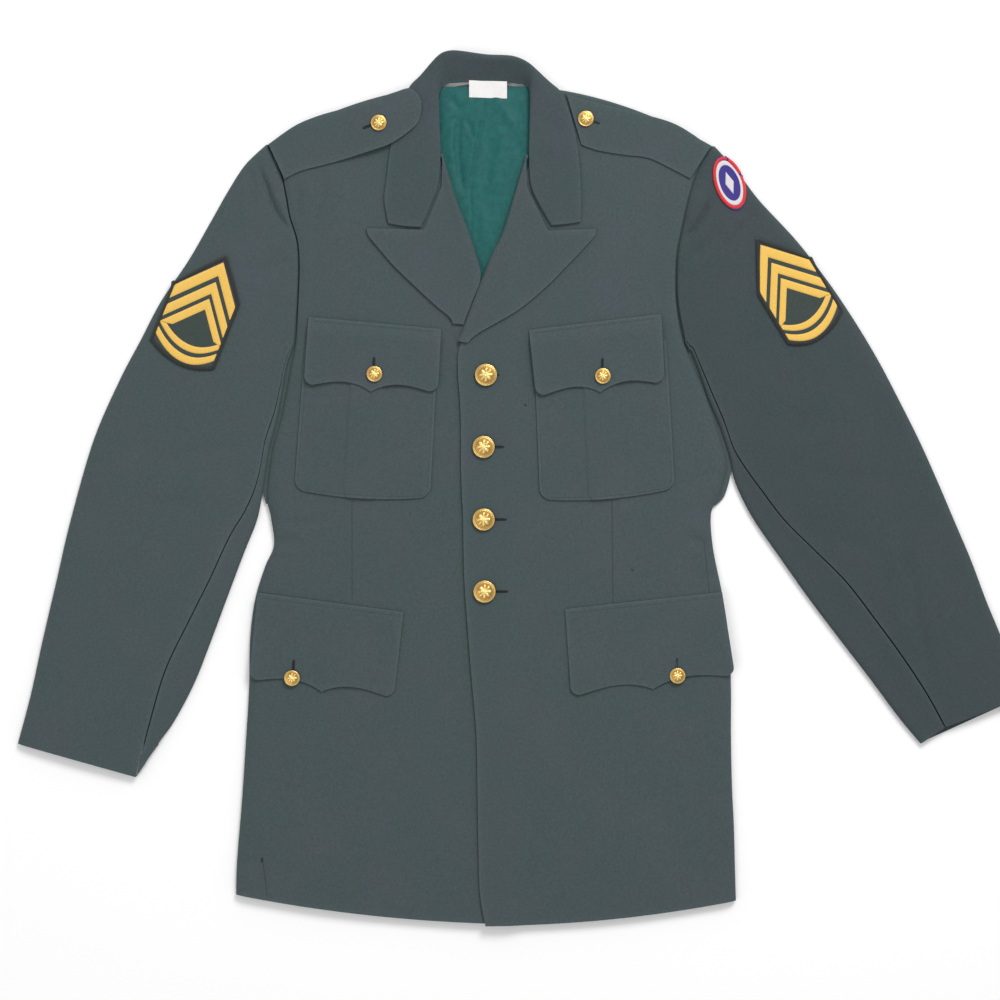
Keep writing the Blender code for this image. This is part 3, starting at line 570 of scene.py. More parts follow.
def front_lay(side, edge, inward, surface):
    """The lay of a front's outer face; inward is +1 where its side is on the left."""
    from_shoulder = spaced(BODY_LENGTH, FRONT_ROWS)[::-1]
    rows = 1 - from_shoulder / BODY_LENGTH
    inset = [(across + inward * SEAM_INSET, down, rounding) for across, down, rounding in side]
    side_places, edge_places = smooth(inset, rows), smooth(edge, rows)
    width = np.hypot(*(edge_places - side_places[:, :2]).T)
    inside = np.stack([spaced(w, FRONT_COLUMNS) for w in width])
    share = inside / width[:, None]
    plan = body_plan(inset, edge, share, rows)
    rise = 1 - side_places[:, 2:3] * (1 - turned(inside))
    rise = rise * turned(from_shoulder)[:, None]
    seam_dip = (1 - side_places[:, 2:3]) * 2.2 * np.exp(-(inside / 2.6) ** 2)
    height = SIDE_SEAM + (surface(plan) - seam_dip - SIDE_SEAM) * rise
    lay = np.dstack([plan, height])
    return lay if inward > 0 else lay[:, ::-1]


lay = front_lay(SIDE_RIGHT, EDGE_RIGHT, 1, right_height)
front_right = cloth("front_right", lay, FRONT_THICK,
                    add_lines(wool_finish("front_serge_right"), DART_SHADE_RIGHT + WEAR_RIGHT))
set_in_frame(front_right, "front_right")
lay = front_lay(SIDE_LEFT, EDGE_LEFT, -1, left_height)
front_left = cloth("front_left", lay, FRONT_THICK,
                   add_lines(wool_finish("front_serge_left"), DART_SHADE_LEFT + WEAR_LEFT))
set_in_frame(front_left, "front_left")


# The sleeves, two pieces each: a top sleeve from the outer fold to the forearm seam, and an
# under sleeve that shows beside the seam, turns under at the inner fold and runs back below.
SLEEVE_THICK = 2.1
SLEEVE_TOP = 8.1
SLEEVE_LOFT = 1.8
CAP_START = 0.74
SLEEVE_GAP_LEFT = 1.8
SLEEVE_GAP_RIGHT = -1.0
CREASE_DROP = 1.3
CREASE_GAP = 1.0
SLEEVE_RIGHT = [  # outer fold, forearm seam, inner fold: across and down of each
    (18, 744, 137, 777.5, 160.5, 741), (31, 695, 150, 724, 175, 721),
    (43, 640, 166, 670, 195, 683), (57, 580, 190, 620, 212, 640), (71, 520, 210, 580, 228, 597),
    (94, 440, 230, 537, 245, 552), (120, 380, 245, 512, 257, 522), (141, 340, 255, 490, 262, 500),
    (162, 300, 261, 468, 265.5, 478), (189, 260, 266, 440, 270.5, 448),
    (212, 220, 275, 412, 278.5, 418), (229, 190, 280.5, 388, 283, 393),
    (246, 164, 286, 362, 287.5, 368), (267, 144, 295, 341, 294.3, 345.5),
]
SLEEVE_LEFT = [
    (1023, 697, 944, 727.5, 919.5, 744), (1010, 660, 925, 693, 897, 717),
    (1000, 636, 900, 655, 868, 678), (985, 600, 875, 621, 838, 639), (970, 560, 845, 582, 807, 598),
    (953, 520, 812, 549, 778, 557), (936, 480, 783, 520, 757, 527), (918, 440, 760, 490, 744, 505),
    (898, 400, 744, 468, 733, 480), (877, 360, 732, 448, 727.5, 455),
    (853, 320, 722, 420, 718, 426), (826, 280, 710, 392, 706, 397),
    (795, 240, 700, 368, 697.5, 372), (758, 200, 692, 349, 690, 353),
    (736, 171, 688, 345, 687, 350), (713, 145.5, 683, 338, 683.5, 342.5),
]
SLEEVE_LENGTH = 560
CAP_DEPTH = 260
SEAM_SINK = 2.0
SEAM_ROUND = 2.6
HEM_SINK = 0.8
HEM_ROUND = 3.0
SHELF_END = 0.25
TURN_END = 0.55
UNDER_SETBACK = 1.6
CAP_BOW = 10
SEAM_ALLOWANCE_TOP = 3.6
SEAM_ALLOWANCE_REACH = 5.2
SEAM_ALLOWANCE_END = 0.3
SLEEVE_FOLDS_RIGHT = [
    ([(257, 160), (265, 184), (275.6, 211), (287, 227), (296, 236)], 2.4, -3.4),
    ([(268, 168), (276, 195), (286, 213)], 4.5, 1.8),
    ([(250, 165), (253.6, 187), (251, 217)], 4.0, -1.3),
    ([(243, 178), (246, 205), (243, 232)], 5.0, 0.9),
    ([(254, 285), (270, 268), (291, 256)], 7.0, -1.3),
    ([(252, 262), (268, 248), (284, 240)], 6.0, 0.9),
    ([(225, 330), (240, 300), (262, 285)], 9.0, -0.9),
    ([(150, 470), (180, 455), (215, 450), (245, 440)], 9.0, -0.9),
    ([(140, 500), (175, 490), (215, 480)], 8.0, 0.8),
    ([(205, 520), (190, 505), (165, 500)], 8.0, -0.7),
    ([(95, 560), (130, 545), (170, 548)], 10.0, 0.7),
    ([(88, 700), (110, 640), (140, 585)], 12.0, -0.8),
    ([(120, 720), (135, 680), (150, 640)], 8.0, 0.8),
    ([(45, 735), (60, 690), (72, 640)], 10.0, 0.6),
]
SLEEVE_FOLDS_LEFT = [
    ([(711, 196), (704.6, 214.5), (694.6, 229), (683, 240)], 2.4, -3.4),
    ([(700, 192), (694, 210), (687, 226)], 4.0, 1.5),
    ([(756, 200), (751, 218), (738, 233), (731, 246)], 3.5, -1.7),
    ([(745, 212), (735, 226), (726, 244)], 4.5, 1.1),
    ([(723, 223), (713, 239), (690, 261)], 5.5, -1.5),
    ([(712, 250), (703, 262), (690, 276)], 5.0, 1.0),
    ([(742, 262), (726, 290), (704, 312)], 9.0, -0.8),
    ([(905, 500), (880, 480), (840, 478), (800, 470)], 9.0, -1.0),
    ([(915, 530), (908, 561), (916, 607), (923, 641), (934, 690)], 7.0, -1.8),
    ([(900, 520), (893, 560), (900, 610), (910, 655)], 8.0, 1.2),
    ([(935, 560), (945, 620), (958, 670)], 9.0, 0.9),
    ([(850, 430), (820, 440), (780, 450)], 9.0, 0.8),
    ([(890, 560), (860, 545), (825, 540)], 8.0, -0.9),
    ([(960, 700), (972, 670), (968, 630)], 8.0, -0.7),
    ([(880, 440), (860, 400), (835, 375)], 10.0, -0.6),
]


def sleeve_plan(table, seam, gap, rows, part):
    """Places on a sleeve: part 0 is its outer fold, 1 its forearm seam, 2 its inner fold."""
    places = smooth(table, rows)
    outer, crease, inner = (places[:, None, k:k + 2] for k in (0, 2, 4))
    first = outer + (crease - outer) * np.minimum(part, 1)[..., None]
    plan = first + (inner - crease) * np.maximum(part - 1, 0)[..., None]
    cap = ease((rows - CAP_START) / (1 - CAP_START))[:, None, None]
    last = np.array(table[-1], float)
    chord = last[:2] + (last[2:4] - last[:2]) * part[..., None]
    to_seam = smooth(seam, 1 - part) - chord
    plan = plan + np.where(part[..., None] < 1, cap * to_seam, 0)
    plan[..., 0] += gap
    return plan


def add_sleeve(side_name, table, seam, gap, folds, finish):
    """The top and under sleeve of one side; gap is signed to the right of the body."""
    outward = math.copysign(1, gap)
    rows = np.linspace(0, 1, 190)
    places = smooth(table, rows)
    width = np.hypot(*(places[:, 2:4] - places[:, :2]).T) - 0.4
    inside = np.stack([spaced(w, 60) for w in width])
    part = inside / (width + 0.4)[:, None]
    plan = sleeve_plan(table, seam, gap, rows, part)
    loft = SLEEVE_LOFT * np.sin(math.pi * np.clip(part, 0, 1)) ** 0.7
    cap = ease((rows - 0.86) / 0.14)[:, None]
    rise = loft * (1 - 0.8 * cap) + folded(plan, folds) * ease((1 - part) / 0.06)
    seam_dip = SEAM_SINK * np.exp(-((rows - 1)[:, None] * CAP_DEPTH / SEAM_ROUND) ** 2)
    height = SIDE_SEAM + (SLEEVE_TOP + rise - seam_dip - SIDE_SEAM) * turned(inside)
    hem = np.exp(-(rows[:, None] * SLEEVE_LENGTH / HEM_ROUND) ** 2)
    top_lay = np.dstack([plan, height - HEM_SINK * hem])
    if outward > 0:
        top_lay = top_lay[:, ::-1]
    top_name = "sleeve_" + side_name + "_top"
    top = cloth(top_name, top_lay, SLEEVE_THICK, finish)
    set_in_frame(top, top_name)

    along = np.tile(np.concatenate([np.linspace(0, SHELF_END, 12),
                                    np.linspace(SHELF_END, TURN_END, 13)[1:],
                                    np.linspace(TURN_END, 1, 14)[1:]]), (len(rows), 1))
    fall = np.hypot(*(places[:, 4:6] - places[:, 2:4]).T)[:, None]
    turn = np.minimum(9.0 / 2, 0.7 * fall)
    flat = np.maximum(fall - turn - CREASE_GAP, 0)
    sink = np.minimum(CREASE_DROP, flat / 8)
    shelf = np.clip(along / SHELF_END, 0, 1)
    angle = np.clip((along - SHELF_END) / (TURN_END - SHELF_END), 0, 1) * math.pi
    run = np.clip((along - TURN_END) / (1 - TURN_END), 0, 1)
    part = np.where(along < SHELF_END, 1 + (CREASE_GAP + flat * shelf) / fall,
                    2 - turn / fall * (1 - np.sin(angle)))
    plan = sleeve_plan(table, seam, gap, rows, part)
    bowl = 0.9 * np.sin(math.pi * shelf) * np.clip(flat / 15, 0, 1)
    height = np.where(along < SHELF_END, SLEEVE_TOP - sink * shelf - bowl,
                      (SLEEVE_TOP - sink) / 2 * (1 + np.cos(angle)))
    start = sleeve_plan(table, seam, gap, rows, 2 - turn / fall)
    end = sleeve_plan(table, seam, gap, rows, np.zeros((len(rows), 1)))
    end[..., 0] -= outward * UNDER_SETBACK
    below = start + (end - start) * run[..., None]
    cap = ease((rows - CAP_START) / (1 - CAP_START))[:, None]
    below[..., 0] -= outward * 4 * run * (1 - run) * cap * CAP_BOW
    under = (run > 0)[..., None]
    under_lay = np.dstack([np.where(under, below, plan), np.where(run > 0, 0.0, height)])
    if outward > 0:
        under_lay = under_lay[:, ::-1]
    under_name = "sleeve_" + side_name + "_under"
    piece = cloth(under_name, under_lay, SLEEVE_THICK, finish)
    set_in_frame(piece, under_name)
    return top


def add_armhole_seam(side_name, side, first_row, outward, finish):
    """The allowance of the armhole seam, which closes the groove between sleeve and body."""
    rows = np.linspace(first_row, 1, 120)
    seam = smooth(side, rows)[:, None, :2]
    narrowed = SEAM_ALLOWANCE_END + (1 - SEAM_ALLOWANCE_END) * ease(
        np.minimum(rows - first_row, 1 - rows) / 0.03)
    reach = narrowed[:, None] * np.linspace(-SEAM_ALLOWANCE_REACH, SEAM_ALLOWANCE_REACH, 7)
    plan = np.stack([seam[..., 0] + reach - outward * 0.4, seam[..., 1] + 0 * reach], -1)
    lay = np.dstack([plan, np.full(plan.shape[:2], SEAM_ALLOWANCE_TOP)])
    strip = cloth("armhole_seam_" + side_name, lay, SEAM_ALLOWANCE_TOP - BACK_THICK, finish)
    set_in_frame(strip, None)


sleeve_right = add_sleeve(
    "right", SLEEVE_RIGHT, [row[:2] for row in SIDE_RIGHT[14:]], SLEEVE_GAP_RIGHT,
    SLEEVE_FOLDS_RIGHT, wool_finish("sleeve_serge_right", grain=-20))
sleeve_left = add_sleeve(
    "left", SLEEVE_LEFT, [row[:2] for row in SIDE_LEFT[16:]], SLEEVE_GAP_LEFT,
    SLEEVE_FOLDS_LEFT, wool_finish("sleeve_serge_left", (0.043, 0.060, 0.063), grain=32))
add_armhole_seam("right", SIDE_RIGHT, 0.44, -1, back_finish)
add_armhole_seam("left", SIDE_LEFT, 0.38, 1, back_finish)


# The collar: leaf and stand in one piece of serge, standing round the neck and folded over.
# Each station from its left front end round to the other gives five places across it, as
# across, down, height: leaf edge, leaf, crest, stand and neck seam.
COLLAR_THICK = 2.1
COLLAR_TONE = (0.047, 0.068, 0.071)
COLLAR = [
    (388.5, 223.5, 11.4, 404, 226, 11.7, 417, 226.8, 11.9, 421.0, 226.8, 11.5, 421.6, 227.1, 9.6),
    (384.5, 200, 11.4, 406, 200, 11.7, 428, 202, 11.9, 431.6, 202.3, 11.4, 432.1, 202.6, 9.6),
    (386.5, 180, 11.4, 412, 180, 11.8, 434.5, 183, 12.0, 438.2, 183.3, 11.3, 438.6, 183.5, 9.6),
    (391, 146, 11.4, 414, 149, 12.0, 435.5, 152, 12.3, 440.2, 152, 11.3, 440.4, 152, 9.4),
    (400, 114, 11.6, 418, 116, 12.4, 434, 117.5, 12.6, 439, 118, 11.4, 438.8, 118, 9.4),
    (409, 88, 11.9, 422, 84, 13.6, 434, 86, 14.6, 439, 90, 12.0, 439.5, 94, 9.0),
    (424, 73, 6.0, 430, 64.5, 12.5, 438, 61.5, 18.0, 443, 72, 13.0, 445, 84.5, 6.0),
    (447, 59, 1.5, 448, 52.5, 11.0, 452, 53.0, 19.2, 455, 67, 14.0, 457, 82.5, 5.5),
    (486, 61, 1.5, 486, 55, 10.0, 486, 57.5, 19.2, 486, 69, 13.5, 486, 81.5, 5.5),
    (519, 62, 1.5, 517, 57.5, 11.0, 516, 60, 19.2, 515, 71, 13.5, 514, 83, 5.5),
    (547.5, 80.5, 6.0, 540, 73, 12.0, 532, 69, 17.3, 528.5, 78, 13.0, 526.5, 86, 6.0),
    (561, 92.5, 11.8, 548, 88, 13.3, 535, 89, 14.3, 530.4, 92, 12.2, 530, 96, 9.0),
    (570.2, 115, 11.7, 552, 116, 12.4, 535, 117, 12.7, 530, 118, 11.6, 530.2, 118, 9.8),
    (577, 145, 11.6, 554, 149, 12.1, 532, 151, 12.5, 529.1, 152, 11.6, 529.2, 152, 9.9),
    (580.3, 181, 11.5, 556, 182, 11.8, 534, 183.5, 12.2, 530.8, 183.4, 11.5, 530.5, 183.5, 9.9),
    (580.8, 201, 11.5, 561, 201, 11.7, 541.5, 202.5, 12.1, 538.3, 202.2, 11.5, 537.8, 202.3, 9.9),
    (580.3, 222, 11.4, 567, 224, 11.7, 555, 225, 12.0, 551.6, 225.2, 11.5, 551.1, 225.4, 9.8),
]
COLLAR_FOLDS = [
    ([(540, 118), (552, 124), (562, 138)], 6.0, -0.7),
    ([(537, 150), (550, 146), (563, 156)], 7.0, 0.7),
    ([(400, 190), (415, 196), (428, 190)], 9.0, 0.5),
]


def lapel_lift(plan):
    """How far collar and lapels are lifted by the chest below them."""
    return chest_rise(plan) * ease((plan[..., 1] - 120) / 40)


stations = smooth(COLLAR, np.linspace(0, 1, 210))
places = stations.reshape(len(stations), 5, 3).transpose(1, 0, 2).reshape(5, -1)
lay = smooth(places, np.linspace(0, 1, 40)).reshape(40, len(stations), 3).transpose(1, 0, 2)
lay = lay.copy()
lay[..., 2] += lapel_lift(lay) + folded(lay[..., :2], COLLAR_FOLDS)
collar = cloth("collar", lay, COLLAR_THICK, wool_finish("collar_serge", COLLAR_TONE, grain=70))
set_in_frame(collar, "collar")


# The lapels: the facings, turned back over the fronts on a soft roll. Rows run from the
# bottom end up to the gorge seam: four places across from the roll to the outer edge, as
# across, down, and 1 where the edge is rolled under.
LAPEL_THICK = 2.3
LAPEL_GAP = 0.4
ROLL_DROP = 4.0
ROLL_TURN = 4.0
ROLL_LOFT = 0.9
LAPEL_RIGHT = [
    (463.5, 324.5, 460, 324.2, 456.5, 323.8, 453, 323.5, 0),
    (466.0, 317, 460, 317, 454, 317, 449, 316.5, 0), (472.0, 302, 460, 303, 447, 303, 433, 303, 0),
    (480.5, 277, 456, 275, 425, 273, 398, 270, 0), (476.5, 255, 450, 255, 420, 256, 384.5, 255, 1),
    (467.5, 228, 450, 236, 424, 243, 371, 239, 1),
    (456.5, 200, 447, 215, 424, 235, 367.5, 233, 1),
    (442.5, 153, 441.8, 187, 424, 230.2, 367, 228.5, 1),
]
LAPEL_LEFT = [
    (457.5, 341, 461, 341.7, 464, 342.3, 467.5, 343, 1),
    (463.5, 327, 468, 329, 473, 331, 479, 333, 1), (474.0, 299, 488, 302, 502, 307, 517, 311, 1),
    (483.5, 275, 503, 278, 524, 283, 545, 288, 1), (491.5, 255, 515, 258, 540, 263, 566, 267, 1),
    (501.0, 236, 520, 241, 550, 247, 585, 247, 1),
    (510.0, 209, 520, 218, 547, 236, 594.5, 236, 1),
    (526.0, 154, 527, 187.5, 548, 231, 596, 228.8, 1),
]


def lapel_lay(table, outward, surface):
    rows = smooth(table, np.linspace(0, 1, 130))
    places = rows[:, :8].reshape(-1, 4, 2)
    length = np.maximum(np.linalg.norm(places[:, 3] - places[:, 0], axis=-1), 0.5)[:, None]
    turn = np.minimum(ROLL_TURN, 0.3 * length)
    angle = np.linspace(0, math.pi / 2, 6)[None, :]
    share = np.concatenate([turn * (1 - np.cos(angle)) / length,
                            turn / length + (1 - turn / length) * np.linspace(0, 1, 61)[None, 1:]], 1)
    drop = np.zeros(share.shape)
    drop[:, :6] = ROLL_DROP * (1 - np.sin(angle)) * np.minimum(1, length / 12) * rows[:, 8:]
    s = share * 3
    i = np.minimum(s.astype(int), 2)
    row = np.arange(len(rows))[:, None]
    plan = places[row, i] + (places[row, i + 1] - places[row, i]) * (s - i)[..., None]
    roll = ROLL_LOFT * np.exp(-((share * length - 9) / 9) ** 2) * np.minimum(1, length / 40)
    height = surface(plan) + LAPEL_THICK + LAPEL_GAP - drop + roll
    lay = np.dstack([plan, height])
    return lay if outward > 0 else lay[:, ::-1]


lay = lapel_lay(LAPEL_RIGHT, -1, right_height)
lapel_right = cloth("lapel_right", lay, LAPEL_THICK, wool_finish("lapel_serge_right", grain=-35))
set_in_frame(lapel_right, "lapel_right")
lay = lapel_lay(LAPEL_LEFT, 1, left_height)
lapel_left = cloth("lapel_left", lay, LAPEL_THICK, wool_finish("lapel_serge_left", grain=35))
set_in_frame(lapel_left, "lapel_left")


# The pockets: patch pockets with a box pleat on the chest, and scalloped flaps over them and
# over the inside pockets of the skirt. Flaps are sewn on along the top and topstitched.
POCKET_THICK = 1.5
FLAP_THICK = 1.8
GAP = 0.3
PLEAT = (0.36, 0.61)
PLEAT_RISE = 1.2
POCKET_SAG = 3.5
POCKET_RISE = GAP + POCKET_THICK
FLAP_LIFT = POCKET_RISE + PLEAT_RISE
FLAP_HUMP = 6.0
FLAP_POINT = 4.0
FLAP_CORNER = 9.0
STITCH_IN = 5.0
# Corners: upper left, upper right, lower left and lower right, as across and down
CHEST_FLAP_RIGHT = (308.5, 317, 441.2, 329, 304, 384.5, 438, 392)
CHEST_FLAP_LEFT = (528.8, 330, 661, 314, 536, 396, 664.5, 382)
SKIRT_FLAP_RIGHT = (257.5, 592.5, 403.5, 612, 249, 679, 394, 697)
SKIRT_FLAP_LEFT = (565, 609, 722, 592, 571, 696, 735, 675)
CHEST_POCKET_RIGHT = (305, 345, 438, 350, 294, 491, 430, 499)
CHEST_POCKET_LEFT = (534, 350, 666, 341, 540, 501, 675, 490)


def between_corners(corners, share, up):
    """Places between four corners, up from 0 at the bottom to 1 at the top."""
    upper_left, upper_right, lower_left, lower_right = np.array(corners, float).reshape(4, 2)
    share, up = share[..., None], up[..., None]
    return ((upper_left + (upper_right - upper_left) * share) * up
            + (lower_left + (lower_right - lower_left) * share) * (1 - up))


def pocket_lay(corners, surface):
    width, drop = corners[2] - corners[0], corners[5] - corners[1]
    share, up = np.meshgrid(np.linspace(0, 1, 91), np.linspace(0, 1, 76) ** 1.2)
    drawn_in = 1.4 * FLAP_CORNER * (1 - turned(up * drop, 1.4 * FLAP_CORNER)) / width
    plan = between_corners(corners, drawn_in + share * (1 - 2 * drawn_in), up)
    plan[..., 1] += POCKET_SAG * 4 * share * (1 - share) * (1 - up)
    pleat = ease((share - PLEAT[0]) / 0.012 + 0.5) * ease((PLEAT[1] - share) / 0.012 + 0.5)
    puff = 0.5 * np.sin(math.pi * share) * np.sin(math.pi * np.clip(up, 0, 1))
    return np.dstack([plan, surface(plan) + POCKET_RISE + PLEAT_RISE * pleat + puff])


def flap_lay(corners, surface, lifted):
    width, drop = corners[2] - corners[0], corners[5] - corners[1]
    share, up = np.meshgrid(np.linspace(0, 1, 97), np.linspace(0, 1, 49) ** 1.3)
    drawn_in = FLAP_CORNER * (1 - turned(up * drop, FLAP_CORNER)) / width
    plan = between_corners(corners, drawn_in + share * (1 - 2 * drawn_in), up)
    wave = np.abs(2 * share - 1)
    scallop = FLAP_POINT * (1 - wave) ** 2 - FLAP_HUMP * np.sin(math.pi * wave ** 0.8)
    plan[..., 1] += scallop * (1 - up) ** 2
    climb = lifted * ease((1 - up) * drop / 16)
    groove = 0.45 * np.exp(-(((1 - up) * drop - STITCH_IN) / 1.2) ** 2)
    curl = 0.7 * (1 - up) ** 3 * np.cos(2 * math.pi * share * 1.5)
    height = surface(plan) + GAP + FLAP_THICK + climb - groove + np.maximum(curl, -0.2)
    return np.dstack([plan, height])


thread_finish = plain_cloth_finish("sewing_thread", (0.045, 0.062, 0.066), thread=1800)


def stitch_run(name, path, finish=thread_finish, pitch=2.6, length=1.9, radius=0.22):
    """Sewn stitches along a path of places, each a short thread sunk at both of its ends."""
    path = np.asarray(path, float)
    steps = np.linalg.norm(np.diff(path, axis=0), axis=-1)
    along = np.concatenate([[0], np.cumsum(steps)])
    starts = np.arange(0.5 * pitch, along[-1] - length, pitch)
    sides = 5
    bends = np.array([0.0, 0.3, 0.7, 1.0])
    sunk = np.array([-0.25, 0.12, 0.12, -0.25])
    vertices, faces = [], []
    for start in starts:
        spots = start + bends * length
        line = np.stack([np.interp(spots, along, path[:, k]) for k in range(3)], -1)
        line[:, 2] += sunk
        run = line[-1, :2] - line[0, :2]
        across = np.array([-run[1], run[0], 0]) / max(np.hypot(*run), 1e-6)
        first = len(vertices)
        for spot in line:
            for k in range(sides):
                turn = 2 * math.pi * k / sides
                vertices.append(spot + radius * (across * math.cos(turn)
                                                 + np.array([0, 0, 1]) * math.sin(turn)))
        for ring in range(len(line) - 1):
            for k in range(sides):
                a = first + ring * sides + k
                b = first + ring * sides + (k + 1) % sides
                faces.append((a, b, b + sides, a + sides))
        faces.append(tuple(range(first, first + sides)))
        faces.append(tuple(range(first + 3 * sides, first + 4 * sides))[::-1])
    mesh = bpy.data.meshes.new(name)
    mesh.from_pydata(on_table(np.array(vertices)).tolist(), [], faces)
    mesh.shade_smooth()
    mesh.materials.append(finish)
    piece = bpy.data.objects.new(name, mesh)
    bpy.context.scene.collection.objects.link(piece)
    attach(piece, "root")
    return piece


def inset_path(lay, sides, inset):
    """A path a short way inside the rim of a lay, along the sides that are named."""
    column = max(int(round(inset / np.linalg.norm(lay[0, 1] - lay[0, 0]))), 1)
    heights = np.cumsum(np.linalg.norm(np.diff(lay[:, lay.shape[1] // 2], axis=0), axis=-1))
    low = int(np.searchsorted(heights, inset)) + 1
    high = int(np.searchsorted(heights, heights[-1] - inset)) + 1
    runs = {"left": lay[low:high, column][::-1], "bottom": lay[low, column:-column],
            "right": lay[low:high, -1 - column], "top": lay[high, column:-column]}
    return np.concatenate([runs[side] for side in sides])


flap_finish_right = wool_finish("flap_serge_right", grain=4)
flap_finish_left = wool_finish("flap_serge_left", grain=-4)
flap_lays = {}
for side_name, corners, surface, front, finish in (
        ("right", CHEST_POCKET_RIGHT, right_height, front_right, flap_finish_right),
        ("left", CHEST_POCKET_LEFT, left_height, front_left, flap_finish_left)):
    lay = pocket_lay(corners, surface)
    name = "chest_pocket_" + side_name
    pocket = cloth(name, lay, POCKET_THICK, finish)
    stitching = stitch_run(name + "_stitching", inset_path(lay, ("left", "bottom", "right"), 2.0))
    set_in_frame(pocket, name)
for name, corners, surface, front, lifted in (
        ("chest_flap_right", CHEST_FLAP_RIGHT, right_height, "chest_pocket_right", FLAP_LIFT),
        ("chest_flap_left", CHEST_FLAP_LEFT, left_height, "chest_pocket_left", FLAP_LIFT),
        ("skirt_flap_right", SKIRT_FLAP_RIGHT, right_height, front_right, 0),
        ("skirt_flap_left", SKIRT_FLAP_LEFT, left_height, front_left, 0)):
    lay = flap_lay(corners, surface, lifted)
    flap_lays[name] = lay
    finish = flap_finish_right if name.endswith("right") else flap_finish_left
    flap = cloth(name, lay, FLAP_THICK, finish)
    stitching = stitch_run(name + "_stitching", inset_path(lay, ("top",), STITCH_IN))
    set_in_frame(flap, name)


# The shoulder loops: straps of serge sewn into the sleeve seam and buttoned near the collar.
# The right one ends in a round point over the collar, the left one's end is under it. Each
# row gives the upper edge, the lower edge and the rise over what lies below.
LOOP_RIGHT = [
    (268.5, 144.5, 284.5, 179, 0.2), (294, 126.5, 301, 171, 0.2), (317, 116.5, 322, 165.5, 0.5),
    (345, 108.5, 341, 160.5, 1.2), (368, 102, 370, 151.5, 4.2), (395, 93, 391, 144, 4.6),
    (409, 89, 409, 132, 4.6), (417, 93.5, 418, 123, 4.6), (421.5, 102, 421.5, 112, 4.6),
]
LOOP_LEFT = [
    (566.5, 94.5, 581.5, 144.5, 0), (582, 99, 587, 147, 0), (606, 105, 600, 151, 0),
    (640, 113.5, 624, 155, 0), (671, 122.5, 648, 158, 0), (692, 134, 670, 168, 0),
    (710, 147.5, 690, 178.5, 0),
]
loop_finish = wool_finish("loop_serge", grain=60)
for name, table in (("shoulder_loop_right", LOOP_RIGHT), ("shoulder_loop_left", LOOP_LEFT)):
    places = smooth(table, np.linspace(0, 1, 110))
    up = np.linspace(0, 1, 34)[:, None, None]
    plan = places[None, :, 2:4] + (places[None, :, :2] - places[None, :, 2:4]) * up
    crown = 0.5 * np.sin(math.pi * up[..., 0])
    lay = np.dstack([plan, FRONT_TOP + GAP + FLAP_THICK + places[None, :, 4] + crown + 0 * plan[..., 0]])
    loop = cloth(name, lay, FLAP_THICK, loop_finish)
    set_in_frame(loop, name)


# The buttons: gilt, domed, with a rolled rim, a ring of beads and a plain rosette, each on a
# shank. They are fastened, in buttonholes worked with near-black thread that also stands in
# for painted shade in the slits.
BUTTON_LARGE = 22.6
BUTTON_SMALL = 15.9
OVER_CHEST_FLAP = FLAP_LIFT + GAP + FLAP_THICK
OVER_FLAP = GAP + FLAP_THICK
BUTTON_SECTORS = 96
BUTTON_RINGS = 26
PETALS = 8
BEADS = 32
# Each button: name, diameter, across, down, height of its foot above the flat front
BUTTONS = [
    ("front_button_1", BUTTON_LARGE, 486.0, 375.0, OVERLAP_RISE),
    ("front_button_2", BUTTON_LARGE, 483.7, 447.0, OVERLAP_RISE),
    ("front_button_3", BUTTON_LARGE, 483.7, 519.5, OVERLAP_RISE),
    ("front_button_4", BUTTON_LARGE, 484.6, 591.5, OVERLAP_RISE),
    ("chest_button_right", BUTTON_SMALL, 374.7, 374.1, OVER_CHEST_FLAP),
    ("chest_button_left", BUTTON_SMALL, 602.7, 376.2, OVER_CHEST_FLAP),
    ("skirt_button_right", BUTTON_SMALL, 292.2, 677.9, OVER_FLAP),
    ("skirt_button_left", BUTTON_SMALL, 677.4, 675.6, OVER_FLAP),
    ("loop_button_right", BUTTON_SMALL, 379.0, 123.6, OVER_FLAP + 4.9),
    ("loop_button_left", BUTTON_SMALL, 585.8, 119.0, OVER_FLAP + 0.3),
]
# The lower side of a button from its rim to its shank: parts of the radius out and up
BUTTON_UNDERSIDE = [(1.0, 0.17), (0.95, 0.11), (0.6, 0.08), (0.3, 0.07), (0.26, 0.0), (0.2, -0.03)]


def gilt_finish():
    """Gilt brass: warm, mottled in its hollows and rubbed bright on what stands up."""
    finish = bpy.data.materials.new("gilt_brass")
    finish.use_nodes = True
    tree = finish.node_tree
    shader = tree.nodes["Principled BSDF"]
    place = place_node(tree, "ShaderNodeTexCoord").outputs["Object"]
    raised = place_node(tree, "ShaderNodeAttribute", attribute_name="relief").outputs["Fac"]
    tarnish = place_node(tree, "ShaderNodeTexNoise",
                         {"Vector": place, "Scale": 420, "Detail": 5, "Roughness": 0.7}).outputs[0]
    bright = maths(tree, "ADD", maths(tree, "MULTIPLY", raised, 0.75),
                   maths(tree, "MULTIPLY", tarnish, 0.35))
    colour = tinted(tree, bright, (0.42, 0.20, 0.035, 1), (1.0, 0.76, 0.30, 1))
    hammered = place_node(tree, "ShaderNodeBump",
                          {"Height": tarnish, "Strength": 0.35, "Distance": 0.0004})
    tree.links.new(colour, shader.inputs["Base Color"])
    tree.links.new(maths(tree, "MULTIPLY_ADD", tarnish, 0.3, 0.18), shader.inputs["Roughness"])
    tree.links.new(hammered.outputs[0], shader.inputs["Normal"])
    shader.inputs["Metallic"].default_value = 1.0
    return finish


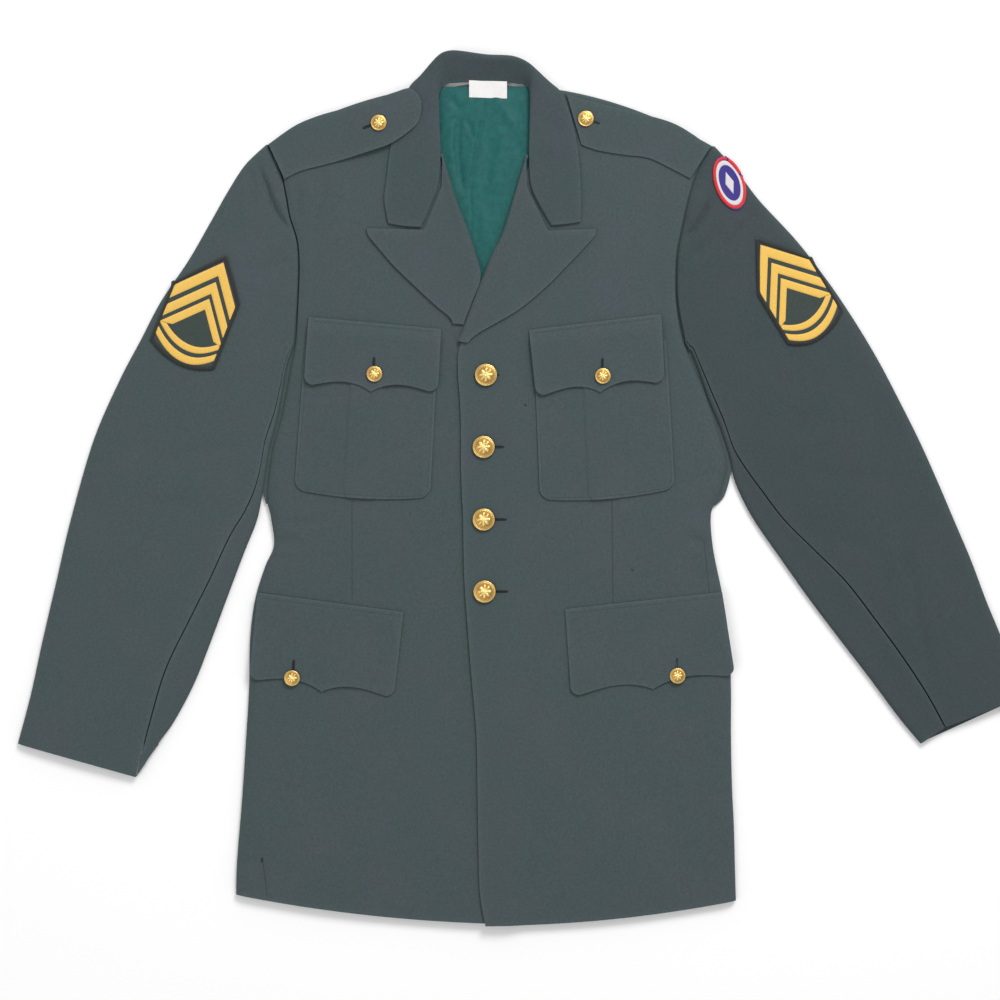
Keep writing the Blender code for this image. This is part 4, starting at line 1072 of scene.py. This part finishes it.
def button_height(r, angle):
    """The top of a button at parts r of its radius, and how far its relief stands up."""
    dome = 0.20 + 0.30 * np.sqrt(np.clip(1 - (0.86 * r) ** 2, 0, 1)) - 0.15
    rim = 0.055 * np.exp(-((r - 0.93) / 0.045) ** 2)
    beads = 0.035 * np.exp(-((r - 0.79) / 0.05) ** 2) * (0.5 + 0.5 * np.cos(BEADS * angle))
    petal = np.abs(np.cos(PETALS / 2 * angle))
    reach = 0.28 + 0.34 * petal
    flower = 0.06 * ease((reach - r) / 0.07) * (0.55 + 0.45 * petal) * ease(r / 0.16)
    heart = 0.07 * np.sqrt(np.clip(1 - (r / 0.17) ** 2, 0, 1))
    relief = rim + beads + flower + heart
    return dome + relief, np.clip(relief / 0.06, 0, 1)


def add_button(name, diameter, across, down, foot, finish):
    radius = diameter / 2
    base = FRONT_TOP + foot + float(chest_rise(np.array([[across, down]], float))[0]) + GAP
    r = np.linspace(0.02, 1, BUTTON_RINGS)[:, None]
    angle = np.linspace(0, 2 * math.pi, BUTTON_SECTORS, endpoint=False)[None, :]
    top, relief = button_height(r, angle)
    out = np.concatenate([r[:, 0], [row[0] for row in BUTTON_UNDERSIDE]])
    height = np.concatenate([top, np.repeat([[row[1]] for row in BUTTON_UNDERSIDE],
                                            BUTTON_SECTORS, 1)])
    relief = np.concatenate([relief, np.full((len(BUTTON_UNDERSIDE), BUTTON_SECTORS), 0.3)])
    lay = np.dstack([across + radius * out[:, None] * np.cos(angle),
                     down - radius * out[:, None] * np.sin(angle), base + radius * height])
    rings = len(out)
    index = np.arange(rings * BUTTON_SECTORS).reshape(rings, BUTTON_SECTORS)
    following = np.roll(index, -1, axis=1)
    faces = np.stack([index[:-1], index[1:], following[1:], following[:-1]], -1)
    faces = faces.reshape(-1, 4).tolist() + [index[0].tolist(), index[-1][::-1].tolist()]
    mesh = bpy.data.meshes.new(name)
    mesh.from_pydata(on_table(lay).reshape(-1, 3).tolist(), [], faces)
    stored = mesh.attributes.new("relief", "FLOAT", "POINT")
    stored.data.foreach_set("value", relief.astype(np.float32).ravel())
    mesh.shade_smooth()
    mesh.materials.append(finish)
    button = bpy.data.objects.new(name + "_gilt", mesh)
    bpy.context.scene.collection.objects.link(button)
    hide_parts(name)
    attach(button, "root")


gilt = gilt_finish()
for row in BUTTONS:
    add_button(*row, gilt)

# Buttonholes: name, middle across and down, length, angle from level, and what they are in
BUTTONHOLES = [
    ("front_hole_1", 486.5, 375.5, 25, 3, left_height, 0), ("front_hole_2", 491, 447, 26, 0, left_height, 0),
    ("front_hole_3", 493, 519.5, 27, 0, left_height, 0), ("front_hole_4", 495, 591.5, 26, 0, left_height, 0),
    ("chest_hole_right", 374, 366, 17, 88, right_height, OVER_CHEST_FLAP),
    ("chest_hole_left", 602, 367, 17, 88, left_height, OVER_CHEST_FLAP),
    ("skirt_hole_right", 293.3, 669, 18, 86, right_height, OVER_FLAP),
    ("skirt_hole_left", 676.6, 667, 18, 88, left_height, OVER_FLAP),
    ("loop_hole_right", 372.5, 125.5, 19, 20, None, OVER_FLAP + 4.9),
    ("loop_hole_left", 591, 121, 18, -18, None, OVER_FLAP + 0.3),
]
# Near-black buttonhole thread: the thread's own dark colour, with painted shade of the slit in it.
slit_shade_and_hole_thread = plain_cloth_finish("buttonhole_thread_and_slit_shade", (0.012, 0.016, 0.018), thread=1500)


def worked_edge(name, path, width, rise, rib, finish, sections=8):
    """An edge worked over with thread: a flattened cord along a closed path, ribbed by
    each turn of the thread."""
    path = np.asarray(path, float)
    closed = np.concatenate([path, path[:1]])
    along = np.concatenate([[0], np.cumsum(np.linalg.norm(np.diff(closed, axis=0), axis=-1))])
    turns = max(int(along[-1] / rib), 8)
    spots = np.linspace(0, along[-1], turns * 3, endpoint=False)
    line = np.stack([np.interp(spots, along, closed[:, k]) for k in range(3)], -1)
    run = np.roll(line, -1, 0) - np.roll(line, 1, 0)
    across = np.stack([-run[:, 1], run[:, 0], 0 * run[:, 0]], -1)
    across /= np.maximum(np.linalg.norm(across, axis=-1, keepdims=True), 1e-6)
    swell = np.where(np.arange(len(spots)) % 3 == 0, 0.86, 1.0)[:, None]
    turn = np.linspace(0, 2 * math.pi, sections, endpoint=False)[None, :]
    lay = line[:, None] + across[:, None] * (swell * width / 2 * np.cos(turn))[..., None]
    lay[..., 2] += swell * rise / 2 * np.sin(turn)
    index = np.arange(len(spots) * sections).reshape(-1, sections)
    after, beside = np.roll(index, -1, 0), np.roll(index, -1, 1)
    faces = np.stack([index, beside, np.roll(beside, -1, 0), after], -1).reshape(-1, 4)
    mesh = bpy.data.meshes.new(name)
    mesh.from_pydata(on_table(lay).reshape(-1, 3).tolist(), [], faces.tolist())
    mesh.shade_smooth()
    mesh.materials.append(finish)
    piece = bpy.data.objects.new(name, mesh)
    bpy.context.scene.collection.objects.link(piece)
    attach(piece, "root")
    return piece


for name, across, down, length, angle, surface, foot in BUTTONHOLES:
    turn = np.linspace(0, 2 * math.pi, 40, endpoint=False)
    half = length / 2
    reach = np.clip(np.cos(turn) * half * 1.25, -half, half)
    beside = 0.75 * np.sign(np.sin(turn)) * np.sqrt(np.clip(1 - (reach / half) ** 8, 0, 1))
    lean = math.radians(angle)
    plan = np.stack([across + reach * math.cos(lean) - beside * math.sin(lean),
                     down - reach * math.sin(lean) - beside * math.cos(lean)], -1)
    ground = surface(plan) if surface else np.full(len(plan), FRONT_TOP)
    path = np.column_stack([plan, ground + foot + 0.1])
    worked_edge(name, path, 1.5, 0.9, 0.8, slit_shade_and_hole_thread, sections=6)


# The rank patches: serge patches embroidered with gold chevrons and rockers in raised satin
# stitch, their edges worked over in black thread, sewn to the upper sleeves. A place on one
# is given beside its middle line and down it from its point.
PATCH_THICK = 1.3
RANK_LENGTH = 121.0
RANK_PATCHES = [
    # name, point, step down the patch, half widths, where its sides start and end, bow of
    # its rockers, slopes of its chevrons, and the sleeve
    ("rank_patch_right", (227, 254), (-0.366, 0.931), (41, 31), (46, 42), (107, 112),
     (0.0125, 0.017), (1.02, 1.37), sleeve_right),
    ("rank_patch_left", (755.5, 237), (0.520, 0.854), (29, 37.5), (50, 46), (108, 108),
     (0.018, 0.0135), (1.50, 1.12), sleeve_left),
]
CHEVRONS = [(9, 24), (30, 43), (48, 60)]
ROCKERS = [(98, 105), (109, 117)]
BORDER_WIDTH = 4.2
STRIPE_RISE = 0.7


def surface_under(sleeve):
    """A way to find a sleeve's height at places: a ray down on to its outer face."""
    mesh = sleeve.data
    tree = BVHTree.FromPolygons([v.co for v in mesh.vertices], [p.vertices for p in mesh.polygons])

    def height(plan):
        world = on_table(np.dstack([np.atleast_3d(plan.reshape(-1, 1, 2)), np.zeros((plan.size // 2, 1))]))
        found = []
        for x, y, _ in world.reshape(-1, 3):
            hit = tree.ray_cast(Vector((x, y, 0.1)), Vector((0, 0, -1)))[0]
            if hit is None:
                hit = tree.find_nearest(Vector((x, y, SLEEVE_TOP * MM)))[0]
            found.append(hit.z / MM)
        return np.array(found).reshape(plan.shape[:-1])

    return height


def thread_finish_of(name, tone, groove_shade_tone, pitch, roughness=0.42, grain=0.0):
    """Embroidery thread: close parallel threads, lighter on their crowns and darker in the grooves between
    them as painted shade, with a random fray in the tone.
    """
    finish = bpy.data.materials.new(name)
    finish.use_nodes = True
    tree = finish.node_tree
    shader = tree.nodes["Principled BSDF"]
    place = place_node(tree, "ShaderNodeTexCoord").outputs["Object"]
    along_threads = place_node(
        tree, "ShaderNodeVectorRotate", {"Vector": place, "Angle": math.radians(grain)},
        rotation_type="Z_AXIS").outputs[0]
    threads = place_node(
        tree, "ShaderNodeTexWave",
        {"Vector": along_threads, "Scale": 0.314 / pitch * 1000, "Distortion": 1.2, "Detail": 1.0},
        bands_direction="X").outputs["Fac"]
    fray = place_node(tree, "ShaderNodeTexNoise",
                      {"Vector": place, "Scale": 500, "Detail": 4, "Roughness": 0.7}).outputs[0]
    # Painted shade: the same thread waves that give the bump darken the grooves between threads.
    crown_light_and_fray = maths(tree, "ADD", maths(tree, "MULTIPLY", threads, 0.55),
                  maths(tree, "MULTIPLY", fray, 0.5))
    colour = tinted(tree, crown_light_and_fray, (*groove_shade_tone, 1), (*tone, 1))
    bump = place_node(tree, "ShaderNodeBump", {"Height": threads, "Strength": 0.5,
                                               "Distance": 0.0003})
    tree.links.new(colour, shader.inputs["Base Color"])
    tree.links.new(bump.outputs[0], shader.inputs["Normal"])
    shader.inputs["Roughness"].default_value = roughness
    shader.inputs["Sheen Weight"].default_value = 0.1
    return finish


# Each thread: its tone, and the darker tone painted as shade between its threads.
gold_thread = thread_finish_of("gold_thread", (1.0, 0.66, 0.13), (0.62, 0.33, 0.05), 0.45)
black_thread = thread_finish_of("black_thread", (0.012, 0.016, 0.015), (0.004, 0.005, 0.005), 0.5,
                                roughness=0.6)
patch_serge = wool_finish("patch_serge", (0.042, 0.058, 0.052), grain=20)


def joined(name, lays, finish):
    """One object from several small grids, such as the stripes of a badge."""
    vertices, faces = [], []
    for lay in lays:
        first = len(vertices)
        count, columns = lay.shape[:2]
        index = first + np.arange(count * columns).reshape(count, columns)
        vertices.extend(on_table(lay).reshape(-1, 3).tolist())
        quads = np.stack([index[:-1, :-1], index[:-1, 1:], index[1:, 1:], index[1:, :-1]], -1)
        faces.extend(quads.reshape(-1, 4).tolist())
    mesh = bpy.data.meshes.new(name)
    mesh.from_pydata(vertices, [], faces)
    mesh.shade_smooth()
    mesh.materials.append(finish)
    piece = bpy.data.objects.new(name, mesh)
    bpy.context.scene.collection.objects.link(piece)
    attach(piece, "root")
    return piece


def add_rank_patch(name, point, step, halves, starts, ends, bows, slopes, sleeve):
    step_x, step_y = step
    ground = surface_under(sleeve)

    def on_patch(beside, along):
        return np.stack([point[0] + step_x * along + step_y * beside,
                         point[1] + step_y * along - step_x * beside], -1)

    def by_side(beside, pair):
        return np.where(beside < 0, pair[0], pair[1])

    beside = np.linspace(-halves[0], halves[1], 61)[None, :]
    part = np.abs(beside) / by_side(beside, halves)
    start = by_side(beside, starts) * part
    end = RANK_LENGTH - (RANK_LENGTH - by_side(beside, ends)) * part ** 2
    along = end + (start - end) * np.linspace(0, 1, 70)[:, None]
    plan = on_patch(beside + 0 * along, along)
    lay = np.dstack([plan, ground(plan) + GAP + PATCH_THICK])
    base = cloth(name, lay, PATCH_THICK, patch_serge)

    reach = (halves[0] - BORDER_WIDTH * 0.8, halves[1] - BORDER_WIDTH * 0.8)
    beside = np.linspace(-reach[0], reach[1], 90)[None, :]
    slope, bow = by_side(beside, slopes), by_side(beside, bows)
    chevrons = [(a + slope * np.abs(beside), b + slope * np.abs(beside)) for a, b in CHEVRONS]
    rockers = [(a - bow * beside ** 2, b - bow * beside ** 2) for a, b in ROCKERS]
    (ring_top, ring_inner), (field_end, ring_foot) = chevrons[2], rockers[0]
    middle = (ring_top + ring_foot) / 2
    chevrons[2] = (np.minimum(ring_top, middle), np.minimum(ring_inner, middle))
    rockers[0] = (np.maximum(field_end, middle), np.maximum(ring_foot, middle))
    stripes = []
    for top, bottom in chevrons + rockers:
        across_stripe = np.linspace(0, 1, 8)[:, None]
        along = bottom + (top - bottom) * across_stripe
        plan = on_patch(beside + 0 * along, along)
        swell = np.sqrt(np.clip(1 - (2 * across_stripe - 1) ** 6, 0, 1))
        sides = np.clip((1 - np.abs(2 * (beside + reach[0]) / sum(reach) - 1)) * 40, 0, 1)
        height = ground(plan) + GAP + PATCH_THICK - 0.1 + (STRIPE_RISE + 0.1) * swell * sides
        stripes.append(np.dstack([plan, height]))
    gold = joined(name + "_stripes", stripes, gold_thread)

    half = BORDER_WIDTH / 2
    left, right = -halves[0] + half, halves[1] - half
    foot = np.linspace(right, left, 40)
    foot_end = RANK_LENGTH - (RANK_LENGTH - by_side(foot, ends)) * (foot / by_side(foot, halves)) ** 2
    outline = [(left, starts[0]), (left / 2, starts[0] / 2 + half / 2), (0, half * 1.6),
               (right / 2, starts[1] / 2 + half / 2), (right, starts[1])]
    outline = [(b, a + half * 0.4) for b, a in outline] + list(zip(foot, foot_end - half))
    outline = np.array(outline)
    plan = on_patch(outline[:, 0], outline[:, 1])
    fine = np.concatenate([np.linspace(a, b, 12, endpoint=False)
                           for a, b in zip(plan, np.roll(plan, -1, 0))])
    path = np.column_stack([fine, ground(fine) + GAP + PATCH_THICK - 0.1])
    edge = worked_edge(name + "_edge", path, BORDER_WIDTH, 2.0, 1.1, black_thread)
    set_in_frame(base, name)


for patch in RANK_PATCHES:
    add_rank_patch(*patch)


# The shoulder patch: a round embroidered patch at the head of the left sleeve, red edge,
# white ring and blue field. Its sign is left out; a plain white lozenge takes its place.
SHOULDER_PATCH_AT = (729.5, 183)
SHOULDER_PATCH_HALF = (14.5, 28.0)
SHOULDER_PATCH_TILT = math.radians(19)
red_thread = thread_finish_of("red_thread", (0.80, 0.022, 0.030), (0.50, 0.010, 0.015), 0.5)
white_thread = thread_finish_of("white_thread", (0.80, 0.76, 0.76), (0.55, 0.50, 0.52), 0.45)
blue_thread = thread_finish_of("blue_thread", (0.035, 0.020, 0.29), (0.015, 0.010, 0.14), 0.45,
                               grain=90)
patch_ground = surface_under(sleeve_left)


def on_disc(r, angle):
    """Places on the shoulder patch, at parts r of its radius."""
    beside = r * np.cos(angle) * SHOULDER_PATCH_HALF[0]
    along = r * np.sin(angle) * SHOULDER_PATCH_HALF[1]
    lean_x, lean_y = math.sin(SHOULDER_PATCH_TILT), math.cos(SHOULDER_PATCH_TILT)
    return np.stack([SHOULDER_PATCH_AT[0] + beside * lean_y - along * lean_x,
                     SHOULDER_PATCH_AT[1] - along * lean_y - beside * lean_x], -1)


x, y = np.meshgrid(np.linspace(-1, 1, 33), np.linspace(-1, 1, 33))
disc_r = np.hypot(x * np.sqrt(1 - y * y / 2), y * np.sqrt(1 - x * x / 2))
disc_angle = np.arctan2(y * np.sqrt(1 - x * x / 2), x * np.sqrt(1 - y * y / 2))
plan = on_disc(disc_r, disc_angle)
lay = np.dstack([plan, patch_ground(plan) + GAP + PATCH_THICK])
shoulder_patch = cloth("shoulder_patch", lay, PATCH_THICK, blue_thread)


def ring_of(inner, outer, rise):
    """A raised ring of satin stitch between two parts of the patch's radius."""
    r = np.linspace(outer, inner, 7)[:, None]
    angle = np.linspace(0, 2 * math.pi, 97)[None, :]
    plan = on_disc(r + 0 * angle, angle + 0 * r)
    swell = np.sqrt(np.clip(1 - ((2 * r - inner - outer) / (outer - inner)) ** 6, 0, 1))
    lay = np.dstack([plan, patch_ground(plan) + GAP + PATCH_THICK - 0.1 + rise * swell])
    return lay[::-1]


share, up = np.meshgrid(np.linspace(-1, 1, 13), np.linspace(-1, 1, 25))
beside, along = share * (1 - np.abs(up)) * 0.30, up * 0.42
lozenge_plan = on_disc(np.hypot(beside, along), np.arctan2(along, beside))
lozenge_rise = 0.5 * np.sqrt(np.clip(1 - share ** 6, 0, 1)) * np.clip((1 - np.abs(up)) * 8, 0, 1)
lozenge = np.dstack([lozenge_plan, patch_ground(lozenge_plan) + GAP + PATCH_THICK - 0.05 + lozenge_rise])
white_ring = joined("shoulder_patch_ring", [ring_of(0.66, 0.84, 0.55), lozenge], white_thread)
angle = np.linspace(0, 2 * math.pi, 160, endpoint=False)
rim_plan = on_disc(0.91 + 0 * angle, angle)
rim_path = np.column_stack([rim_plan, patch_ground(rim_plan) + GAP + PATCH_THICK - 0.1])
red_rim = worked_edge("shoulder_patch_edge", rim_path, 3.6, 2.0, 1.0, red_thread)
set_in_frame(shoulder_patch, "shoulder_patch")


# The photographer's table and light: a near-white sheet, one broad lamp from above the collar
# and to the right, a weaker one opposite, a pale room, and the camera straight above.
FLOOR_SIZE = 6.0
FRAME_WIDTH = 1.0
SENSOR = 36.0
CAMERA_HEIGHT = 3.0
CLOTH_LEVEL = 0.009
VIEW_MIDDLE = 500.0
bpy.ops.mesh.primitive_plane_add(size=FLOOR_SIZE, location=(0, 0, 0))
floor = bpy.context.object
floor.name = "table_top"
paper = bpy.data.materials.new("white_paper")
paper.use_nodes = True
paper.node_tree.nodes["Principled BSDF"].inputs["Base Color"].default_value = (0.92, 0.92, 0.92, 1)
paper.node_tree.nodes["Principled BSDF"].inputs["Roughness"].default_value = 0.9
floor.data.materials.append(paper)


def add_lamp(name, location, size, power):
    lamp = bpy.data.lights.new(name, "AREA")
    lamp.size = size
    lamp.energy = power
    holder = bpy.data.objects.new(name, lamp)
    holder.location = location
    holder.rotation_euler = (-Vector(location)).to_track_quat("-Z", "Y").to_euler()
    bpy.context.scene.collection.objects.link(holder)


add_lamp("key_lamp", (0.9, 2.0, 2.2), 1.2, 62)
add_lamp("fill_lamp", (-1.6, -1.2, 2.6), 2.0, 18)
room = bpy.data.worlds.new("pale_room")
room.use_nodes = True
room.node_tree.nodes["Background"].inputs["Color"].default_value = (1.0, 1.0, 1.0, 1)
room.node_tree.nodes["Background"].inputs["Strength"].default_value = 0.62
bpy.context.scene.world = room
bpy.context.scene.view_settings.view_transform = "Standard"

lens = bpy.data.cameras.new("camera")
lens.sensor_width = SENSOR
lens.lens = SENSOR * CAMERA_HEIGHT / FRAME_WIDTH
camera = bpy.data.objects.new("camera", lens)
camera.location = ((VIEW_MIDDLE - MID_ACROSS) * MM, (MID_DOWN - VIEW_MIDDLE) * MM,
                   CAMERA_HEIGHT + CLOTH_LEVEL)
bpy.context.scene.collection.objects.link(camera)
bpy.context.scene.camera = camera
